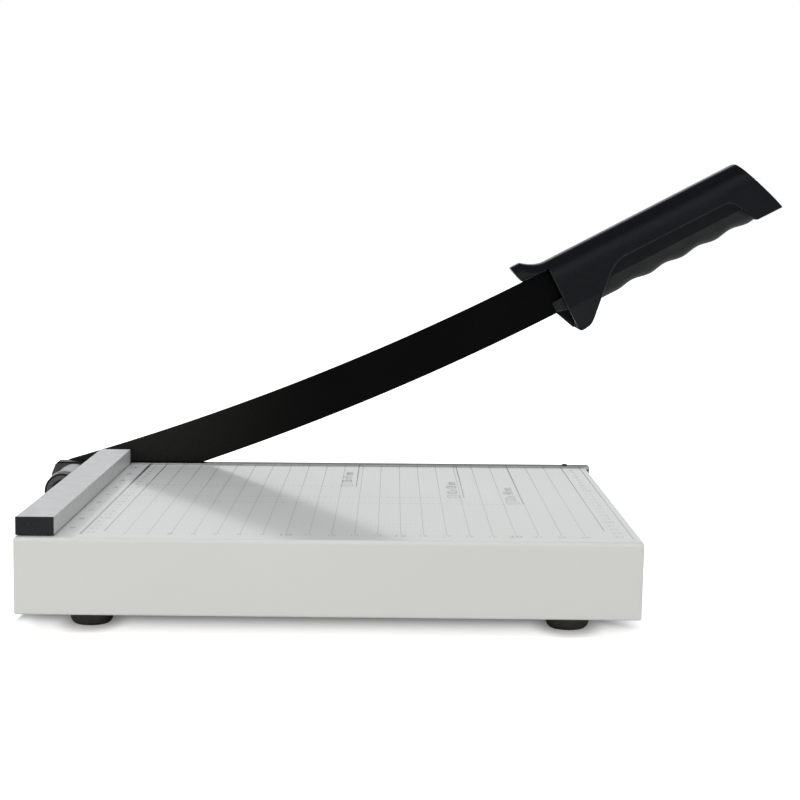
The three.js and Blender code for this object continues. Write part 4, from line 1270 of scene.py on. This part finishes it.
# Axis, way outwards, the tray's edge, and where past it the floor's glow starts and is full; short of that the
# floor holds a painted shadow
FLOOR_SIDES = [
    ("X", -1.0, tray_low.x, 0.002, 0.006), ("X", 1.0, tray_high.x, -0.022, 0.012),
    ("Y", -1.0, tray_low.y, -0.048, -0.012), ("Y", 1.0, tray_high.y, -0.048, -0.012),
]
FLOOR_BACKDROP_RANGE = (0.0, 0.4)
FLOOR_FAR_RANGE = (0.06, 0.45)
FOOT_SHADE = 0.42
FOOT_SHADE_RANGE = (0.007, 0.018)
FOOT_SHADE_SQUEEZE = (1, 0.6, 1)
SURROUND = 0.5
SURROUND_COLOUR = (0.97, 0.985, 1.0, 1)
BACKDROP_RANGE = (0.86, 0.975)
# Heights of a reflected ray between which the light changes, and its shares there
SHEEN_RISE = (0.02, 0.26, 0.4, 2.6)
SHEEN_FALL = (0.32, 0.62, 1.0, 0.08)


def maths(tree, operation, first, second):
    return node_of(tree, "Math", {0: first, 1: second}, operation=operation).outputs["Value"]


def seen_directly(tree, backdrop):
    """One for rays from the camera, and for the reflections that look towards the backdrop."""
    rays = node_of(tree, "LightPath", {}).outputs
    bent = maths(tree, "MAXIMUM", rays["Is Glossy Ray"], rays["Is Transmission Ray"])
    return maths(tree, "MAXIMUM", rays["Is Camera Ray"], maths(tree, "MULTIPLY", bent, backdrop))


def make_floor():
    reach = FLOOR_REACH
    corners = [(-reach, -reach, 0), (reach, -reach, 0), (reach, reach, 0), (-reach, reach, 0)]
    mesh = bpy.data.meshes.new("floor")
    mesh.from_pydata(corners, [], [(0, 1, 2, 3)])
    finish = Finish("floor", (1, 1, 1), 0.9, specular=0.0)
    finish.set("Emission Color", (1, 1, 1, 1))
    tree, place, shader = finish.tree, finish.place, finish.shader
    under, near, far = FLOOR_SHADOW_GLOWS
    reaches, glows = [], []
    for axis, way, edge, start, end in FLOOR_SIDES:
        past = maths(tree, "SUBTRACT", axis_of(tree, place, axis), edge)
        reaches.append(maths(tree, "MULTIPLY", past, way))
        glows.append(ramp(tree, reaches[-1], start, end, under, near))
    outside, close = reaches.pop(), glows.pop()
    for past, glow in zip(reaches, glows):
        outside = maths(tree, "MAXIMUM", outside, past)
        close = maths(tree, "MAXIMUM", close, glow)
    # Painted shadow: darker floor colour and lower glow under and near the tray
    tree.links.new(ramp(tree, close, under, near, *FLOOR_SHADOW_COLOURS), shader.inputs["Base Color"])
    glow = maths(tree, "ADD", close, ramp(tree, outside, *FLOOR_FAR_RANGE, 0.0, far - near))
    squeeze = Vector(FOOT_SHADE_SQUEEZE)
    squeezed = node_of(tree, "VectorMath", {0: place, 1: squeeze}, operation="MULTIPLY").outputs["Vector"]
    # Painted shadow round each foot
    for node in FEET:
        low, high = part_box(node)
        middle = Vector(((low.x + high.x) / 2, (low.y + high.y) / 2, 0)) * squeeze
        distance = node_of(tree, "VectorMath", {0: squeezed, 1: middle}, operation="DISTANCE")
        shade = ramp(tree, distance.outputs["Value"], *FOOT_SHADE_RANGE, FOOT_SHADE, 1.0)
        glow = maths(tree, "MULTIPLY", glow, shade)
    seen = seen_directly(tree, ramp(tree, axis_of(tree, place, "Y"), *FLOOR_BACKDROP_RANGE))
    tree.links.new(maths(tree, "MULTIPLY", glow, seen), shader.inputs["Emission Strength"])
    mesh.materials.append(finish.material)
    added("floor", mesh)


def make_world():
    world = bpy.data.worlds.new("studio")
    scene.world = world
    world.use_nodes = True
    tree = world.node_tree
    backdrop = tree.nodes["Background"]
    backdrop.inputs["Color"].default_value = (1, 1, 1, 1)
    backdrop.inputs["Strength"].default_value = 1
    way = node_of(tree, "TexCoord", {}).outputs["Generated"]
    height = axis_of(tree, way, "Z")
    rising, falling = [ramp(tree, height, *sheen) for sheen in (SHEEN_RISE, SHEEN_FALL)]
    dimming = maths(tree, "SUBTRACT", 1.0, maths(tree, "MULTIPLY", rising, falling))
    glossy = node_of(tree, "LightPath", {}).outputs["Is Glossy Ray"]
    dimmed = maths(tree, "SUBTRACT", 1.0, maths(tree, "MULTIPLY", glossy, dimming))
    strength = maths(tree, "MULTIPLY", dimmed, SURROUND)
    light = node_of(tree, "Background", {"Color": SURROUND_COLOUR, "Strength": strength})
    seen = seen_directly(tree, ramp(tree, axis_of(tree, way, "Y"), *BACKDROP_RANGE))
    shaders = {1: light.outputs["Background"], 2: backdrop.outputs["Background"]}
    mix = node_of(tree, "MixShader", {"Fac": seen, **shaders})
    tree.links.new(mix.outputs["Shader"], tree.nodes["World Output"].inputs["Surface"])


def softbox(name, place, target, size, watts, colour):
    data = bpy.data.lights.new(name, "AREA")
    data.shape = "RECTANGLE"
    data.size, data.size_y = size
    data.energy = watts
    data.color = colour
    lamp = bpy.data.objects.new(name, data)
    lamp.visible_glossy = False
    aim = Vector(target) - Vector(place)
    lamp.matrix_world = Matrix.Translation(place) @ aim.to_track_quat("-Z", "Y").to_matrix().to_4x4()
    scene.collection.objects.link(lamp)


make_floor()
make_world()
softbox("overhead", (-0.3, -0.4, 1.9), (0, 0, 0.03), (1.8, 1.4), 17.0, (0.90, 0.965, 1.0))
softbox("front_left", (-0.7, -1.25, 0.45), (0, -0.1, 0.05), (0.9, 0.7), 4.4, (1.0, 0.94, 0.85))
softbox("front_right", (1.5, -1.6, 0.75), (-0.1, -0.1, 0.05), (1.0, 1.0), 7.4, (1.0, 0.945, 0.865))

scene.view_settings.view_transform = "Standard"
